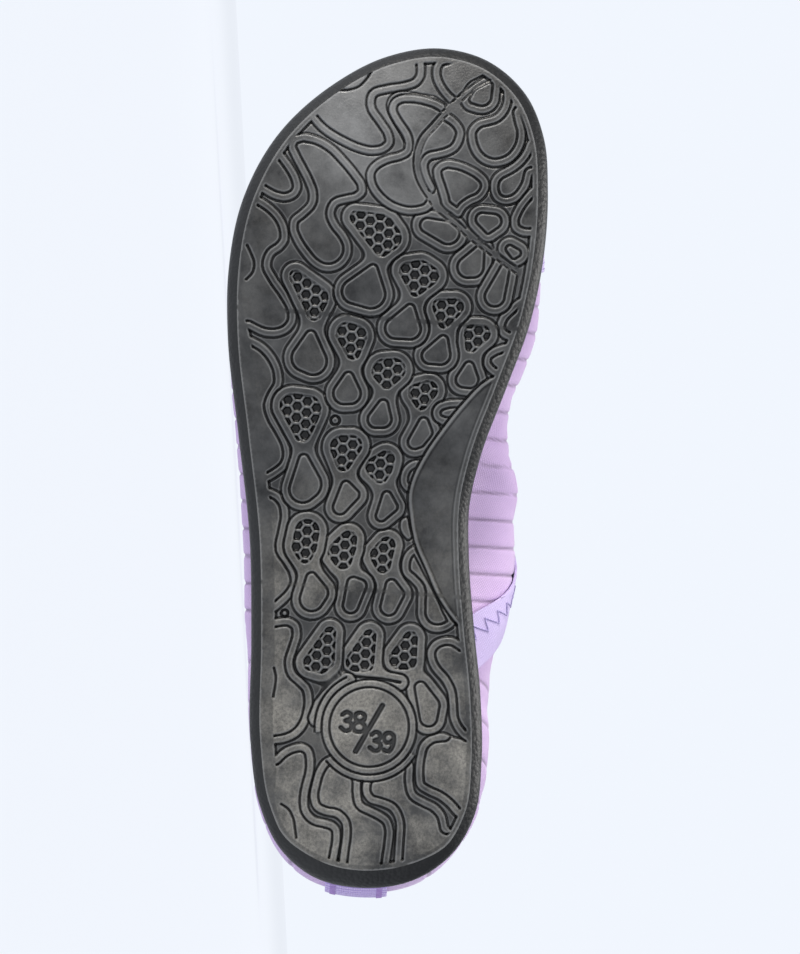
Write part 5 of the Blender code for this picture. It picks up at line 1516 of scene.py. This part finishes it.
bend(mesh)
bmesh.ops.recalc_face_normals(mesh, faces=mesh.faces)

ELASTIC, tree, shader = material("ribbed elastic tape", 0.85, Sheen_Weight=0.2)
where = node(tree, "TexCoord")
cords = node(
    tree, "TexWave", {"bands_direction": "X"}, Vector=(where, "UV"),
    Scale=WAVE_PITCH / CORD_PITCH, Distortion=0.3,
)
tone = node(tree, "Mix", COLOURS, _0=(cords, "Fac"), _6=linear("#a184d8"), _7=linear("#c0a6ee"))
tree.links.new(tone.outputs[2], shader.inputs["Base Color"])
bump = node(tree, "Bump", Strength=0.7, Distance=0.0002, Height=(cords, "Fac"))
tree.links.new(bump.outputs[0], shader.inputs["Normal"])
place("collar_elastic", mesh, ELASTIC, "elastic", "collar_binding", wall_uvs, sharp=70.0)

# Heel pull tab: a doubled woven tape, sewn flat down the back seam with two bar tacks.
# It stands up past the collar as a loop for a finger.
TAB_WIDTH = 0.0183
TAB_THICKNESS = 0.0012
TAB_RISE = 0.0100
TAB_LEAN = 6.0
PICK_PITCH = 0.0013
END_PITCH = 0.0007
TACK_LOW = 0.0165
TACK_STEP = 0.0007
TACK_SLANT = 0.0003
TACK_WIDTH = 0.0016
TACK_INSET = 0.0024
TACK_COUNT = 16

middle = float(WALL[0, -1, 1])
over_binding = HEEL_HEIGHT - BINDING_WIDTH - 0.5 * TAB_THICKNESS
mesh = wall_mesh(WALL, GAP, FIRST_ROW)
keep_side(mesh, (0.06 * LENGTH, 0.0, 0.0), (1.0, 0.0, 0.0))
keep_side(mesh, (0.0, middle + 0.5 * TAB_WIDTH, 0.0), (0.0, 1.0, 0.0))
keep_side(mesh, (0.0, middle - 0.5 * TAB_WIDTH, 0.0), (0.0, -1.0, 0.0))
keep_side(mesh, (0.0, 0.0, RIM_HEIGHT + 2.0 * SEAT_CLEARANCE), (0.0, 0.0, -1.0))
keep_side(mesh, (0.0, 0.0, HEEL_HEIGHT - 2.0 * FOLD_CLEARANCE), (0.0, 0.0, 1.0))
mesh.normal_update()
raised_by = FOLD_CLEARANCE + BINDING_THICKNESS
ramp = 2.0 * TAB_THICKNESS
moves = [
    vert.normal * raised_by * float(smooth((vert.co.z - over_binding + ramp) / ramp))
    for vert in mesh.verts
]
for vert, move in zip(mesh.verts, moves):
    vert.co += move
highest = max(vert.co.z for vert in mesh.verts)
rim = [e for e in mesh.edges if e.is_boundary and all(v.co.z > highest - GAP for v in e.verts)]
forward = math.tan(math.radians(TAB_LEAN))
for step in range(4):
    drawn = bmesh.ops.extrude_edge_only(mesh, edges=rim)["geom"]
    fresh = [piece for piece in drawn if isinstance(piece, bmesh.types.BMVert)]
    for vert in fresh:
        vert.co += Vector((forward, 0.0, 1.0)) * (HEEL_HEIGHT + TAB_RISE - highest) / 4.0
    rim = [
        piece for piece in drawn
        if isinstance(piece, bmesh.types.BMEdge) and all(vert in fresh for vert in piece.verts)
    ]
finish_overlay(mesh, TAB_THICKNESS)


def tab_uvs(data):
    """Unwraps the tab by its place across the heel and its height."""
    return coordinates(data)[:, 1:].copy()


WOVEN_TAPE, tree, shader = material("woven pull tape", 0.8, Sheen_Weight=0.2)
where = node(tree, "TexCoord")
picks, ends = (
    node(
        tree, "TexWave", {"bands_direction": way}, Vector=(where, "UV"),
        Scale=WAVE_PITCH / pitch, Distortion=0.2,
    )
    for way, pitch in (("Y", PICK_PITCH), ("X", END_PITCH))
)
weave = node(tree, "Math", TIMES, _0=(picks, "Fac"), _1=(ends, "Fac"))
tone = node(tree, "Mix", COLOURS, _0=(picks, "Fac"), _6=linear("#aa90d8"), _7=linear("#d8c6f4"))
tree.links.new(tone.outputs[2], shader.inputs["Base Color"])
bump = node(tree, "Bump", Strength=0.8, Distance=0.0002, Height=(weave, 0))
tree.links.new(bump.outputs[0], shader.inputs["Normal"])
place("heel_tab_tape", mesh, WOVEN_TAPE, "woven_tape", "heel_tab", tab_uvs, sharp=50.0)

mesh = bmesh.new()
height = GAP + TAB_THICKNESS + 0.3 * STITCH_RADIUS
for side in (-1, 1):
    seam = middle + side * (0.5 * TAB_WIDTH - TACK_INSET)
    for k in range(TACK_COUNT):
        low = TACK_LOW + TACK_STEP * k
        inner = Vector((-0.1, seam - side * 0.5 * TACK_WIDTH, low))
        outer = Vector((-0.1, seam + side * 0.5 * TACK_WIDTH, low + TACK_SLANT))
        low_end, high_end = (on_skin(at, Vector((1.0, 0.0, 0.0)), height)[1] for at in (inner, outer))
        thread(mesh, low_end, high_end, STITCH_RADIUS)
bend(mesh)
place("heel_tab_bartacks", mesh, LILAC_THREAD, "woven_tape", "heel_tab", sharp=60.0)
